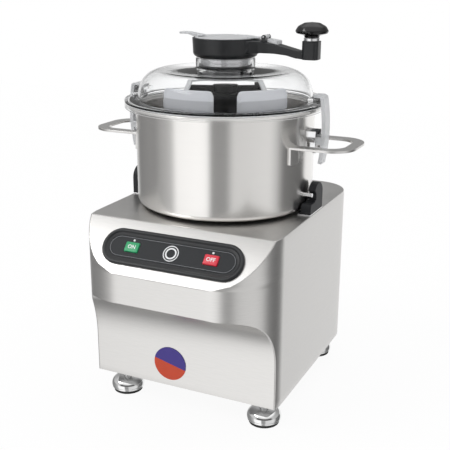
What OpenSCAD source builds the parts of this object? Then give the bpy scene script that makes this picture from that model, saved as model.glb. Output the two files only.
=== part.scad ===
// Bench-top vertical cutter mixer: stainless base, lift-off bowl, clear lid and scraper crank.
// The bowl axis is the Z axis, the machine stands on z = 0 and its panel faces -Y. Millimetres.

/* [Base housing] */
// Width of the base
body_w = 280; // [280:1:310]
// Height of the deck above the floor
deck_z = 278; // [262:1:310]
// Clear height under the base
ground_gap = 40.5; // [36:0.5:46]
// Distance from the bowl axis to the lower front wall
front_reach = 137.5; // [132:0.5:146]
// Distance from the bowl axis to the front edge of the deck
deck_reach = 141.5; // [139:0.5:148]
// Distance from the bowl axis to the foremost face of the nose
nose_reach = 195.5; // [185:0.5:215]
// Distance from the bowl axis to the rear wall
rear_reach = 168; // [160:1:180]
// Height of the lower edge of the control face
nose_top_z = 219.5; // [210:0.5:228]
// Height of the crease under the nose
nose_bottom_z = 178; // [165:1:190]
// Height where the swept front meets the lower wall
sweep_z = 99.5; // [99.5:0.5:125]
// Radius of the two front corners
front_corner_r = 76; // [60:1:85]
// Radius of the two rear corners
rear_corner_r = 49; // [40:1:56]
// Sheet thickness of the base
sheet = 1.5; // [1:0.1:2.5]

/* [Feet] */
// Distance of the front feet from the centre line
foot_x = 109.5; // [85:0.5:112]
// Distance of the rear feet from the centre line
foot_rear_x = 103; // [85:0.5:108]
// Distance of the front feet ahead of the bowl axis
foot_front = 104; // [80:1:108]
// Distance of the rear feet behind the bowl axis
foot_rear = 132; // [110:1:136]
// Radius of the foot dome
foot_r = 24; // [16:0.5:27]
// Thickness of the rubber pad
pad_h = 3; // [2:0.5:6]

/* [Control panel] */
// Sideways place of the panel's middle
panel_x = 3.2; // [-6:0.2:6]
// Length of the black bezel
bezel_l = 204; // [190:1:210]
// Height of the black bezel along the sloping face
bezel_h = 51; // [44:1:56]
// Width of the raised lip round the panel
bezel_lip = 10.5; // [8:0.5:12]
// How far the lip stands out
bezel_t = 4; // [3:0.5:6]
// Distance of each button from the centre
button_x = 57.5; // [45:0.5:65]
// Width of a button
button_w = 20; // [14:0.5:24]
// Height of a button
button_h = 14; // [10:0.5:17]
// Button travel
button_travel = 1.5; // [1:0.1:2]
// Radius of the round mark in the middle
emblem_r = 11; // [7:0.5:13]
// Radius of the round badge on the lower front
badge_r = 24.5; // [15:0.5:27]
// Height of the badge centre
badge_z = 74.5; // [72:0.5:80]
// Sideways place of the badge
badge_x = -19; // [-40:1:40]

/* [Bowl] */
// Outer radius of the bowl
bowl_r = 125; // [122:0.5:127]
// Height of the rim flange above the floor
rim_z = 421; // [417:1:435]
// Wall thickness of the bowl
bowl_t = 1.3; // [1:0.1:2]
// Radius of the bottom corner
bowl_corner_r = 9; // [6:0.5:14]
// How far the rim flange stands out from the bowl wall
rim_out = 9; // [6:0.5:9]
// Outer radius of the centre tube
chimney_r = 15; // [14:0.25:16]
// Height of the centre tube below the rim
chimney_down = 21; // [18:1:45]

/* [Lid] */
// How far the lid flange stands out from the bowl wall
lid_out = 15; // [14:0.5:15]
// Wall thickness of the clear lid
lid_t = 3; // [2:0.25:3.5]
// Radius of the flat top of the dome
lid_flat_r = 90; // [84:1:94]
// How far the dome wall stands inside the bowl's outer wall
lid_inset = 3; // [2:0.5:6]
// Height of the dome's shoulder above the lid flange
lid_rise = 39.5; // [36:0.5:48]
// Wall of the neck and its air gap round the sleeve
neck_wall = 6; // [5.5:0.25:8]
// Height of the neck above the dome
neck_h = 16; // [12:0.5:24]
// How far the lid lifts off
lid_lift = 180; // [100:10:200]

/* [Crank] */
// Distance from the bowl axis to the knob
crank_throw = 124; // [105:1:135]
// How far the crank cup's brim stands out from the sleeve
cup_flare = 10.7; // [9:0.1:13]
// Height of the crank cup
cup_h = 26.7; // [23:0.1:32]
// Outer radius of the steel sleeve
sleeve_r = 35; // [33:0.25:35.5]
// Width of the boss that holds the knob
boss_w = 22; // [21:0.5:28]
// Widest radius of the knob
knob_r = 22; // [16:0.5:24]
// Height of the knob
knob_h = 20; // [16:0.5:26]

/* [Feed cap] */
// Thickness of the feed cap
cap_t = 3.4; // [2:0.2:4]
// Distance from the crank cup's brim to the cap's hinge pin
cap_hinge_out = 14; // [10:0.5:18]
// Length of the finger tab beyond the cap
cap_tab = 26; // [16:1:30]

/* [Cutter] */
// Radius swept by the blades
blade_r = 104; // [85:1:108]
// Thickness of a blade
blade_t = 2.5; // [1.5:0.25:4]
// Height of the lower blade above the bowl floor
blade_low_gap = 9; // [7:0.5:14]
// Distance between the blades
blade_pitch = 42; // [30:1:60]
// Outer radius of the hub sleeve
hub_r = 20; // [19:0.25:22]
// Half length of the grip on top of the hub
grip_half = 51; // [40:1:60]
// Direction in which the grip points
grip_turn = 25; // [0:1:90]

/* [Scraper] */
// Gap between the scraper paddles and the bowl wall
paddle_play = 2.7; // [2:0.1:5]
// Thickness of a paddle
paddle_t = 3.5; // [2.5:0.25:5]
// Height of the paddles' lower ends
paddle_low_z = 302; // [296:1:340]
// Direction of the middle between the paddles
paddle_turn = -65; // [-80:1:-45]
// Half of the gap between the paddles, as an angle
paddle_gap = 8; // [6:1:20]
// Angle that one paddle spans
paddle_span = 40; // [25:1:50]

/* [Latches and handles] */
// Height of the latch pivots below the rim
latch_down = 42; // [36:0.5:48]
// Distance from the bowl wall to a latch pivot
latch_pivot_out = 9; // [8:0.25:10]
// Width of a latch lever
latch_w = 20; // [14:0.5:24]
// Thickness of a latch lever
latch_t = 5; // [4:0.25:6]
// Opening angle of the latches
latch_open = 22; // [15:1:25]
// Reach of the handles from the bowl axis
handle_reach = 196; // [180:1:215]
// Half width of the handles
handle_half = 50; // [44:1:58]
// Width of the handle strip
handle_strip = 15; // [10:0.5:18]
// Thickness of the handle strip
handle_t = 3; // [2:0.25:4]
// Height of the handles below the rim
handle_down = 46.5; // [30:0.5:60]

/* [Bayonet] */
// Height of the bowl pins above the deck
pin_up = 26.5; // [24:0.5:30]
// Radius of the bowl pins
pin_r = 3; // [2.5:0.25:3.5]
// Sideways place of the bowl pins inside the hooks
pin_y = 13; // [9:0.5:15]
// Radius of the rounded head of each hook
head_r = 17; // [14:0.5:18]
// How far the hooks reach ahead of the bowl's middle
hook_half = 24; // [19:0.5:26]
// Thickness of each hook, outwards from the bowl
hook_w = 10; // [8:0.5:12]

/* [Drive] */
// Radius of the drive shaft
shaft_r = 10; // [8:0.25:10.5]
// Outer radius of the motor housing
motor_r = 62; // [56:1:68]
// Length of the motor housing
motor_l = 128; // [110:1:136]
// Outer radius of the rotor core
rotor_r = 35.5; // [30:0.5:36]
// Outer radius of the motor bearings
bearing_r = 23.5; // [20:0.5:26]
// Width of the motor bearings
bearing_w = 14; // [10:0.5:16]

/* [Clearances] */
// Gap between parts that move past each other
run_gap = 0.3; // [0.3:0.05:0.6]
// Running clearance of a shaft in its bearing
fit_gap = 0.04; // [0.02:0.01:0.08]

/* [Hidden] */
$fn = 96;

// Colours
steel_color = [0.76, 0.76, 0.74];
polished_color = [0.85, 0.85, 0.86];
black_color = [0.13, 0.13, 0.14];
panel_color = [0.2, 0.21, 0.23];
milky_color = [0.88, 0.89, 0.9];
clear_color = [0.9, 0.93, 0.95, 0.35];
cast_color = [0.66, 0.67, 0.68];
copper_color = [0.72, 0.42, 0.2];
green_color = [0.2, 0.65, 0.38];
red_color = [0.85, 0.2, 0.2];
rubber_color = [0.1, 0.1, 0.1];

// Housing
front_y = -front_reach;
deck_y = -deck_reach;
nose_y = -nose_reach;
rear_y = rear_reach;
face_run = nose_reach - deck_reach;
face_drop = deck_z - nose_top_z;
face_l = sqrt(face_run * face_run + face_drop * face_drop);
face_tilt = atan2(face_drop, face_run);
sweep_steps = 12;
rear_open_w = 150;
rear_open_h = 150;
rear_open_z = 140;
cover_lap = 9;
cover_t = 1.5;
vent_count = 7;
vent_pitch = 11;
vent_w = 90;
vent_h = 4;
screw_r = 2;
screw_head_r = 4;
screw_head_h = 2.2;

// Feet
stud_r = 5;
foot_lip_h = 7;
foot_dome_h = 13.5;
foot_chamfer = 3;
foot_neck_r = 8;
nut_t = 5;
nut_r = 9;
bottom_t = 2;
foot_places = [
    [-foot_x, -foot_front], [foot_x, -foot_front],
    [-foot_rear_x, foot_rear], [foot_rear_x, foot_rear]
];

// Panel
bezel_floor = 1.2;
overlay_t = 0.8;
overlay_w = bezel_l - 2 * bezel_lip;
overlay_h = bezel_h - 2 * bezel_lip;
button_proud = 1.8;
button_flange = 2;
button_flange_t = 1.5;
stem_w = 8;
stem_l = 5.5;
stem_low = -run_gap - button_flange_t - stem_l;
lamp_r = 1.5;
lamp_up = 10;
emblem_t = 0.4;
badge_t = 0.8;
block_h = 12;
block_top = stem_low - button_travel - 0.5;
board_top = block_top - block_h;
board_t = 1.6;
board_w = 176;
board_h = 26;
contactor_x = 60;
contactor_y = 40;
contactor_w = 44;
contactor_l = 50;
contactor_h = 52;
terminal_w = 6;
terminal_l = 10;

// Bowl and drive line
seat_t = 2.5;
seat_r = 62;
spigot_gap = 0.35;
spigot_h = 12;
bowl_z = deck_z + seat_t + run_gap;
bowl_inner_r = bowl_r - bowl_t;
chimney_inner_r = chimney_r - bowl_t;
chimney_z = rim_z - chimney_down;
rim_r = bowl_r + rim_out;
rim_t = 1.6;
flange_t = 9;
flange_r = 72;
shaft_top_z = chimney_z + 26;
motor_top_z = deck_z - sheet - flange_t;
motor_low_z = motor_top_z - motor_l;
motor_wall = 7;
bell_t = 8;
winding_l = 16;
core_r = motor_r - motor_wall;
core_l = motor_l - bell_t - bearing_w - 2 * winding_l - 2;
core_z = motor_low_z + winding_l + 1;
fan_r = 46;
fan_h = 12;
seal_h = 6;
seal_r = 17;

// Cutter
hub_floor_gap = 3;
hub_foot_r = hub_r + 5;
blade_low_z = bowl_z + bowl_t + blade_low_gap;
blade_up_z = blade_low_z + blade_pitch;
hub_wall_gap = 1.5;
column_r = 22;
column_low_z = chimney_z + 3;
grip_low_z = chimney_z + 34;
grip_h = 15;
grip_w = 11;
blade_nut_h = 9;
blade_points = 10;
blade_sweep = 46;

// Lid, crank and cap
gasket_t = 1.8;
lid_flange_z = rim_z + run_gap + gasket_t;
lid_flange_t = 3.4;
lid_r = bowl_r + lid_out;
lid_dome_r = bowl_r - lid_inset;
skirt_low_z = rim_z - 5;
dome_foot_z = lid_flange_z + lid_flange_t;
dome_top_z = dome_foot_z + lid_rise;
crown_rise = 2.5;
dome_foot_h = 3.5;
neck_r = sleeve_r + neck_wall;
neck_z = dome_top_z + neck_h;
neck_inner_r = neck_r - 3.4;
lip_drop = 8;
lip_t = 2;
lip_r = bowl_inner_r - 1;
ear_w = 28;
ear_in = bowl_r + 1;
ear_flat_x = bowl_r + 10;
ear_out = lid_r + 0.3;
ear_top_z = dome_foot_z + 9.7;
ear_low_z = dome_foot_z + 3;
cup_r = sleeve_r + cup_flare;
cup_z = neck_z + run_gap;
cup_top_z = cup_z + cup_h;
cup_wall = 3.2;
cup_floor_r = neck_r - 1.5;
cup_floor_t = 3;
cup_curve_h = 8;
sleeve_t = 1.6;
sleeve_low_z = dome_top_z - 8;
scraper_ring_h = 7;
scraper_ring_t = 4;
scraper_gap = 0.05;
arm_w = 7;
arm_t = 2.5;
paddle_r = bowl_inner_r - paddle_play;
paddle_top_r = paddle_r - 13;
paddle_step_z = lid_flange_z - lip_drop - 6;
paddle_step_t = 4;
arm_z = sleeve_low_z + 1;
arm_bend_r = min(lid_flat_r + 6, paddle_top_r - 7);
boss_low_z = cup_z + 2.4;
boss_top_z = cup_top_z;
boss_round = 6;
crank_arm_w = 25;
arm_root_w = 56;
crank_arm_end_w = 17;
channel_depth = 2.5;
channel_w = 10;
stud_collar_r = 10.5;
stud_collar_h = 3.6;
stud_pin_r = 4;
knob_z = boss_top_z + stud_collar_h + run_gap;
cap_z = cup_top_z + 1 - cap_t;
cap_r = cup_r - cup_wall - 0.5;
strap_z = cup_top_z + run_gap;
strap_t = 2;
cap_plug_r = cup_r - cup_wall - 2;
cap_plug_h = 4.5;
cap_plug_t = 2.5;
cap_barrel_r = 2.6;
cap_pin_r = 1.2;
cap_ear_w = 2.5;
cap_barrel_w = 14;
cap_tab_w = 15;
cap_hinge_x = cup_r + cap_hinge_out;
cap_hinge_z = strap_z + cap_barrel_r + 0.2;
cap_ear_y = cap_barrel_w / 2 + run_gap;
clip_l = 15.5;
clip_t = 2;

// Latches
bracket_cheek = 2;
bracket_half = latch_w / 2 + run_gap + bracket_cheek;
bracket_h = 26;
latch_pin_r = 2.5;
latch_pivot_x = bowl_r + latch_pivot_out;
latch_pivot_z = rim_z - latch_down;
latch_top_x = ear_out + 0.7 + latch_t / 2;
latch_crown_x = latch_top_x + 4.4;
latch_tail_z = latch_pivot_z - 31;
latch_hook_z = ear_top_z + run_gap;
latch_hook_t = 3.5;
latch_hook_x = ear_flat_x - 3;
handle_z = rim_z - handle_down;

// Bayonet
hook_in_x = bowl_r + 4;
hook_out_x = hook_in_x + hook_w;
hook_foot_x = bowl_r - 3;
hook_plate_t = 1.5;
mouth_h = 16;
pin_z = deck_z + pin_up;
mouth_z = pin_z - mouth_h / 2 - 3;
pin_out = hook_out_x - 2;

// Plan of the base, drawn in by a given inset.
module base_plan(inset) {
    half = body_w / 2 - inset;
    fr = front_corner_r - inset;
    rr = rear_corner_r - inset;
    low = nose_y + inset;
    high = rear_y - inset;
    union() {
        translate([-half + fr, low]) square([2 * (half - fr), high - low]);
        translate([-half, low + fr]) square([2 * half, high - low - fr - rr]);
        translate([-half + rr, high - 2 * rr]) square([2 * (half - rr), 2 * rr]);
        for (side = [-1, 1]) {
            translate([side * (half - fr), low + fr]) circle(r = fr);
            translate([side * (half - rr), high - rr]) circle(r = rr);
        }
    }
}

// Side outline of the base as [y, z] points, drawn in by a given inset.
function base_side(inset, low_z) =
    let (
        y_low = front_y + inset,
        depth = y_low - nose_y,
        rise = nose_bottom_z + inset - sweep_z,
        start = asin(inset / depth),
        y_nose = nose_y + inset
    )
    concat(
        [[y_low, low_z]],
        [for (i = [0 : sweep_steps])
            let (a = 90 - (90 - start) * i / sweep_steps)
            [nose_y + depth * sin(a), sweep_z + rise * cos(a)]],
        [
            [y_nose, nose_top_z - inset * (face_l - face_drop) / face_run],
            [deck_y + inset * (face_l - face_run) / face_drop, deck_z - inset],
            [rear_y - inset, deck_z - inset],
            [rear_y - inset, low_z]
        ]
    );

// Solid block of the base, drawn in by a given inset.
module base_block(inset, low_z) {
    intersection() {
        translate([0, 0, low_z]) linear_extrude(deck_z) base_plan(inset);
        rotate([90, 0, 90])
            translate([0, 0, -body_w])
                linear_extrude(2 * body_w) polygon(base_side(inset, low_z));
    }
}

// Places its children on the sloping control face, Z pointing out of it.
module on_face() {
    translate([panel_x, (nose_y + deck_y) / 2, (nose_top_z + deck_z) / 2])
        rotate([face_tilt, 0, 0]) children();
}

// Slab with round ends.
module stadium(w, h, t) {
    linear_extrude(t) union() {
        square([w - h, h], center = true);
        for (side = [-1, 1]) translate([side * (w - h) / 2, 0]) circle(d = h);
    }
}

// Ring between two radii.
module ring(outer, inner, h) {
    difference() {
        cylinder(r = outer, h = h);
        translate([0, 0, -1]) cylinder(r = inner, h = h + 2);
    }
}

// Button hole through the panel, wider than the button by a gap.
module button_hole(gap, depth) {
    for (side = [-1, 1])
        translate([side * button_x, 0, 0])
            cube([button_w + 2 * gap, button_h + 2 * gap, depth], center = true);
}

module base_housing() {
    color(steel_color) difference() {
        base_block(0, ground_gap);
        base_block(sheet, ground_gap - 1);
        translate([-rear_open_w / 2, rear_y - 10, rear_open_z - rear_open_h / 2])
            cube([rear_open_w, 20, rear_open_h]);
        translate([0, 0, deck_z - 10]) cylinder(r = seal_r, h = 20);
        on_face() button_hole(button_flange + 1, 20);
        deck_screw_holes();
        for (p = cover_screw_places)
            translate([p[0], rear_y - 5, p[1]]) rotate([-90, 0, 0]) cylinder(r = screw_r, h = 10);
    }
}

cover_half_w = rear_open_w / 2 + cover_lap;
cover_half_h = rear_open_h / 2 + cover_lap;
cover_screw_places = [
    for (sx = [-1, 1], sz = [-1, 1])
        [sx * (cover_half_w - cover_lap / 2), rear_open_z + sz * (cover_half_h - cover_lap / 2)]
];
gland_x = 60;
gland_z = rear_open_z - 45;
gland_r = 8;

// Thin plate with louvre slots over the opening in the rear wall.
module rear_cover() {
    color(steel_color) difference() {
        translate([-cover_half_w, rear_y, rear_open_z - cover_half_h])
            cube([2 * cover_half_w, cover_t, 2 * cover_half_h]);
        for (i = [0 : vent_count - 1])
            translate([-vent_w / 2, rear_y - 1, rear_open_z + 52 - i * vent_pitch])
                cube([vent_w, cover_t + 2, vent_h]);
        for (p = cover_screw_places)
            translate([p[0], rear_y - 1, p[1]]) rotate([-90, 0, 0]) cylinder(r = screw_r, h = 10);
        translate([gland_x, rear_y - 1, gland_z]) rotate([-90, 0, 0]) cylinder(r = gland_r, h = 10);
    }
}

module bottom_plate() {
    color(steel_color) difference() {
        intersection() {
            translate([0, 0, ground_gap]) linear_extrude(bottom_t) base_plan(sheet);
            translate([-body_w, front_y + sheet, 0]) cube([2 * body_w, 2 * rear_y, deck_z]);
        }
        for (p = foot_places) translate([p[0], p[1], 0]) cylinder(r = stud_r, h = deck_z);
    }
}

// Screw holes through the deck for the bowl seat and the hooks.
module deck_screw_holes() {
    for (p = seat_screw_places) translate([p[0], p[1], deck_z - 5]) cylinder(r = screw_r, h = 20);
    for (turn = [0, 180], p = hook_screw_places)
        rotate([0, 0, turn]) translate([p[0], p[1], deck_z - 5]) cylinder(r = screw_r, h = 12);
}

// Pan head with its shank, head pointing along +Z.
module screw(length) {
    cylinder(r = screw_head_r, h = screw_head_h);
    translate([0, 0, -length]) cylinder(r = screw_r, h = length + 0.1);
}

module cover_screws() {
    color(polished_color)
        for (p = cover_screw_places)
            translate([p[0], rear_y + cover_t, p[1]]) rotate([-90, 0, 0]) screw(8);
}

module foot_domes() {
    color(polished_color)
        for (p = foot_places) translate([p[0], p[1], pad_h])
            difference() {
                union() {
                    rotate_extrude() polygon(concat(
                        [[0, 0], [foot_r - foot_chamfer, 0], [foot_r, foot_lip_h - foot_chamfer]],
                        [for (i = [0 : 10]) [
                            foot_neck_r - 2 + (foot_r - foot_neck_r + 2) * cos(i * 9),
                            foot_lip_h + foot_dome_h * sin(i * 9)]],
                        [[0, foot_lip_h + foot_dome_h]]));
                    cylinder(r = foot_neck_r, h = ground_gap - pad_h);
                }
                translate([0, 0, -1]) cylinder(r = stud_r, h = deck_z);
            }
}

module foot_pads() {
    color(rubber_color)
        for (p = foot_places) translate([p[0], p[1], 0]) cylinder(r = foot_r - foot_chamfer, h = pad_h);
}

module foot_studs() {
    color(cast_color)
        for (p = foot_places) translate([p[0], p[1], 0]) {
            translate([0, 0, pad_h]) cylinder(r = stud_r, h = ground_gap + bottom_t + nut_t + 3 - pad_h);
            translate([0, 0, ground_gap + bottom_t]) cylinder(r = nut_r, h = nut_t, $fn = 6);
        }
}

module control_bezel() {
    color(black_color) on_face() difference() {
        stadium(bezel_l, bezel_h, bezel_t);
        translate([0, 0, bezel_floor]) stadium(overlay_w, overlay_h, bezel_t);
        button_hole(run_gap, 20);
        emblem_lamp_holes();
    }
}

// Wells for the lamps above the buttons.
module emblem_lamp_holes() {
    for (side = [-1, 1])
        translate([side * button_x, lamp_up, -1]) cylinder(r = lamp_r, h = 10);
}

module control_overlay() {
    color(panel_color) on_face() difference() {
        translate([0, 0, bezel_floor]) stadium(overlay_w, overlay_h, overlay_t);
        button_hole(run_gap, 20);
        emblem_lamp_holes();
    }
}

module indicator_lamps() {
    color("white") on_face()
        for (side = [-1, 1])
            translate([side * button_x, lamp_up, 0])
                cylinder(r = lamp_r, h = bezel_floor + overlay_t + 0.5);
}

module round_emblem() {
    color("white") on_face() translate([0, 0, bezel_floor + overlay_t]) {
        ring(emblem_r, emblem_r - 1.2, emblem_t);
        ring(emblem_r - 3, emblem_r - 5, emblem_t);
    }
}

module round_badge() {
    color([0.25, 0.2, 0.55])
        translate([badge_x, front_y, badge_z])
            rotate([90, 0, 0]) cylinder(r = badge_r, h = badge_t);
}

module cable_gland() {
    color(black_color) translate([gland_x, rear_y + cover_t, gland_z]) rotate([-90, 0, 0])
        difference() {
            union() {
                cylinder(r = gland_r + 4, h = 6, $fn = 6);
                cylinder(r = gland_r + 1, h = 12);
                translate([0, 0, -12]) cylinder(r = gland_r, h = 13);
            }
            translate([0, 0, -20]) cylinder(r = 4.5, h = 40);
        }
}

module gland_nut() {
    color(black_color) translate([gland_x, rear_y - 5, gland_z]) rotate([-90, 0, 0])
        difference() {
            cylinder(r = gland_r + 4, h = 5, $fn = 6);
            translate([0, 0, -1]) cylinder(r = gland_r, h = 7);
        }
}

seat_screw_places = [
    for (a = [45, 135, 225, 315]) [(seat_r - 10) * cos(a), (seat_r - 10) * sin(a)]
];

// Round seat for the bowl with a spigot that centres its tube.
module bowl_seat() {
    spigot_r = chimney_inner_r - spigot_gap;
    color(cast_color) difference() {
        union() {
            translate([0, 0, deck_z]) cylinder(r = seat_r, h = seat_t);
            translate([0, 0, deck_z]) cylinder(r = spigot_r, h = seat_t + spigot_h);
        }
        translate([0, 0, deck_z - 1]) cylinder(r = shaft_r + run_gap, h = 40);
        for (p = seat_screw_places) translate([p[0], p[1], deck_z]) {
            translate([0, 0, -1]) cylinder(r = screw_r, h = 10);
            translate([0, 0, seat_t - screw_head_h]) cylinder(r = screw_head_r + 0.3, h = 10);
        }
    }
}

module seat_screws() {
    color(polished_color)
        for (p = seat_screw_places)
            translate([p[0], p[1], deck_z + seat_t - screw_head_h]) screw(9);
}

hook_screw_x = (hook_in_x + hook_out_x) / 2 - 1.5;
hook_screw_places = [[hook_screw_x, -14], [hook_screw_x, 14]];
hook_back_y = hook_half + 1;
spine_y = -pin_y + pin_r + 8;
head_z = mouth_z + mouth_h / 2;
toe_z = mouth_z + 2;
toe_round = 9;

// Outline of the mouth that a bowl pin slides into.
module hook_mouth() {
    translate([spine_y - mouth_h / 2, head_z]) circle(d = mouth_h);
    translate([-3 * hook_half, mouth_z]) square([3 * hook_half + spine_y - mouth_h / 2, mouth_h]);
}

// One bayonet hook on the +X side, its mouth open towards -Y.
module hook() {
    foot_z = deck_z + hook_plate_t;
    color(black_color) difference() {
        union() {
            // Rounded toe below the mouth
            translate([hook_foot_x, 0, 0]) rotate([90, 0, 90])
                linear_extrude(hook_out_x - hook_foot_x) difference() {
                    union() {
                        translate([-hook_half, foot_z])
                            square([hook_half + hook_back_y, toe_z - toe_round - foot_z]);
                        translate([toe_round - hook_half, foot_z])
                            square([hook_half - toe_round + hook_back_y, toe_z - foot_z]);
                        translate([toe_round - hook_half, toe_z - toe_round]) circle(r = toe_round);
                    }
                    translate([-2 * hook_half, foot_z - 2 * toe_round])
                        square([4 * hook_half, 2 * toe_round]);
                    hook_mouth();
                }
            // Rounded head over the mouth
            translate([hook_in_x, 0, 0]) rotate([90, 0, 90])
                linear_extrude(hook_out_x - hook_in_x) difference() {
                    union() {
                        translate([hook_back_y - 2 * head_r, foot_z])
                            square([2 * head_r, head_z - foot_z]);
                        translate([hook_back_y - head_r, head_z]) circle(r = head_r);
                    }
                    translate([hook_back_y - 3 * head_r, foot_z - 1])
                        square([3 * head_r - hook_back_y + spine_y, head_z - foot_z]);
                    hook_mouth();
                }
        }
        // Room for the bowl wall
        translate([0, 0, bowl_z + 0.8]) cylinder(r = bowl_r + 2, h = 60);
        for (p = hook_screw_places) translate([p[0], p[1], deck_z - 5]) cylinder(r = screw_r, h = 10.5);
    }
}

module bayonet_hooks() {
    for (turn = [0, 180]) rotate([0, 0, turn]) hook();
}

module hook_plates() {
    color(polished_color)
        for (turn = [0, 180]) rotate([0, 0, turn]) difference() {
            translate([hook_foot_x - 1, -hook_half - 1, deck_z])
                cube([hook_out_x + 1 - hook_foot_x, hook_half + hook_back_y + 2, hook_plate_t]);
            for (p = hook_screw_places)
                translate([p[0], p[1], deck_z - 5]) cylinder(r = screw_r, h = 12);
        }
}

// Screws that come up into the hooks from below the deck.
module hook_screws() {
    color(polished_color)
        for (turn = [0, 180], p = hook_screw_places)
            rotate([0, 0, turn])
                translate([p[0], p[1], deck_z - sheet]) rotate([180, 0, 0])
                    screw(sheet + hook_plate_t + 4);
}

module drive_flange() {
    z0 = motor_top_z;
    color(cast_color) difference() {
        translate([0, 0, z0]) cylinder(r = flange_r, h = flange_t);
        translate([0, 0, z0 - 1]) cylinder(r = shaft_r + 1, h = 40);
        translate([0, 0, z0 + flange_t - seal_h]) cylinder(r = seal_r, h = 40);
        for (p = seat_screw_places) translate([p[0], p[1], z0 - 1]) cylinder(r = screw_r, h = 40);
    }
}

module shaft_seal() {
    color(rubber_color) translate([0, 0, motor_top_z + flange_t - seal_h])
        ring(seal_r, shaft_r + fit_gap, seal_h);
}

// Motor tube with cooling ribs and the upper bearing seat.
module motor_housing() {
    color(cast_color) difference() {
        union() {
            translate([0, 0, motor_low_z]) cylinder(r = motor_r, h = motor_l);
            for (i = [0 : 23])
                rotate([0, 0, i * 15])
                    translate([motor_r - 1, -1, motor_low_z + bell_t])
                        cube([7, 2, motor_l - 2 * bell_t]);
        }
        translate([0, 0, motor_low_z - 1]) cylinder(r = core_r, h = motor_l - bell_t - bearing_w + 1);
        translate([0, 0, motor_top_z - bell_t - bearing_w - 1]) cylinder(r = bearing_r, h = bearing_w + 1);
        translate([0, 0, motor_low_z]) cylinder(r = shaft_r + 2, h = 2 * motor_l);
    }
}

module motor_bearings() {
    color(polished_color)
        for (z = [motor_top_z - bell_t - bearing_w, motor_low_z - 4])
            translate([0, 0, z]) ring(bearing_r, shaft_r + fit_gap, bearing_w);
}

module motor_end_bell() {
    color(cast_color) translate([0, 0, motor_low_z - bell_t]) difference() {
        union() {
            cylinder(r = motor_r, h = bell_t);
            cylinder(r = bearing_r + 5, h = bell_t + bearing_w - 4);
        }
        translate([0, 0, bell_t - 4]) cylinder(r = bearing_r, h = 40);
        translate([0, 0, -1]) cylinder(r = shaft_r + 2, h = 40);
    }
}

module motor_stator() {
    color([0.45, 0.46, 0.48]) translate([0, 0, core_z]) ring(core_r, rotor_r + 0.5, core_l);
}

module stator_windings() {
    color(copper_color)
        for (z = [core_z - winding_l, core_z + core_l])
            translate([0, 0, z]) ring(core_r - 4, rotor_r + 4, winding_l);
}

can_r = 19;
can_l = 80;
can_x = -96;
can_y = 20;
clip_floor = 2;

module run_capacitor() {
    color([0.85, 0.85, 0.83])
        translate([can_x, can_y, ground_gap + bottom_t + clip_floor]) {
            cylinder(r = can_r, h = can_l);
            for (side = [-1, 1]) translate([side * 6, 0, can_l - 1]) cylinder(r = 2, h = 9);
        }
}

module capacitor_clip() {
    color(steel_color) translate([can_x, can_y, ground_gap + bottom_t]) {
        cylinder(r = can_r + 2, h = clip_floor);
        translate([0, 0, clip_floor - 0.5]) difference() {
            cylinder(r = can_r + 2, h = 24);
            translate([0, 0, 0.5]) cylinder(r = can_r, h = 40);
        }
    }
}

module control_board() {
    post_x = board_w / 2 - 5;
    post_y = board_h / 2 - 4;
    color([0.12, 0.4, 0.25]) on_face() {
        translate([-board_w / 2, -board_h / 2, board_top - board_t])
            cube([board_w, board_h, board_t]);
        for (sx = [-1, 1], sy = [-1, 1])
            translate([sx * post_x, sy * post_y, board_top - 0.5])
                cylinder(r = 3, h = 0.5 - board_top - sheet);
        translate([-14, -8, board_top - 0.5]) cube([28, 16, 12]);
    }
}

module contactor() {
    color([0.9, 0.89, 0.84]) translate([contactor_x, contactor_y, ground_gap + bottom_t]) {
        cube([contactor_w, contactor_l, contactor_h]);
        for (i = [0 : 3], end = [0, 1])
            translate([
                terminal_w * (0.9 + 1.5 * i),
                end * (contactor_l - terminal_l - 4) + 4 * (1 - end),
                contactor_h - 1
            ])
                cube([terminal_w, terminal_l, terminal_w]);
    }
}

module switch_blocks() {
    color(black_color) on_face()
        for (side = [-1, 1])
            translate([side * button_x - button_w / 2, -button_h / 2, board_top])
                cube([button_w, button_h, block_h]);
}

module drive_shaft() {
    low = motor_low_z - bell_t - 26;
    color(polished_color) translate([0, 0, low]) cylinder(r = shaft_r, h = shaft_top_z - low);
}

module motor_rotor() {
    color([0.5, 0.5, 0.52]) translate([0, 0, core_z - 3]) ring(rotor_r, shaft_r, core_l + 6);
}

module cooling_fan() {
    color(black_color) translate([0, 0, motor_low_z - bell_t - 18]) {
        ring(shaft_r + 6, shaft_r, fan_h);
        ring(fan_r, shaft_r, 2);
        for (i = [0 : 8]) rotate([0, 0, 40 * i])
            translate([shaft_r + 4, -1, 0]) cube([fan_r - shaft_r - 5, 2, fan_h]);
    }
}

// Sleeve over the centre tube, with a column and a grip above it.
module blade_hub() {
    low = bowl_z + bowl_t + hub_floor_gap;
    color(black_color) difference() {
        union() {
            translate([0, 0, low]) cylinder(r = hub_foot_r, h = blade_low_z - low);
            translate([0, 0, low]) cylinder(r = hub_r, h = column_low_z - low);
            translate([0, 0, column_low_z - 0.1]) cylinder(r = column_r, h = grip_low_z - column_low_z + 1);
            rotate([0, 0, grip_turn]) {
                translate([-grip_half, -grip_w / 2, grip_low_z]) cube([2 * grip_half, grip_w, grip_h - 3]);
                translate([grip_half - 5.5, 0, grip_low_z]) cylinder(r = 5.5, h = grip_h + 3);
                translate([0, 0, grip_low_z]) cylinder(r = 17, h = grip_h - 1);
            }
        }
        translate([0, 0, low - 1]) cylinder(r = chimney_r + hub_wall_gap, h = chimney_z + 2 - low);
        translate([0, 0, low - 1]) cylinder(r = shaft_r, h = shaft_top_z - low + 1);
    }
}

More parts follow.
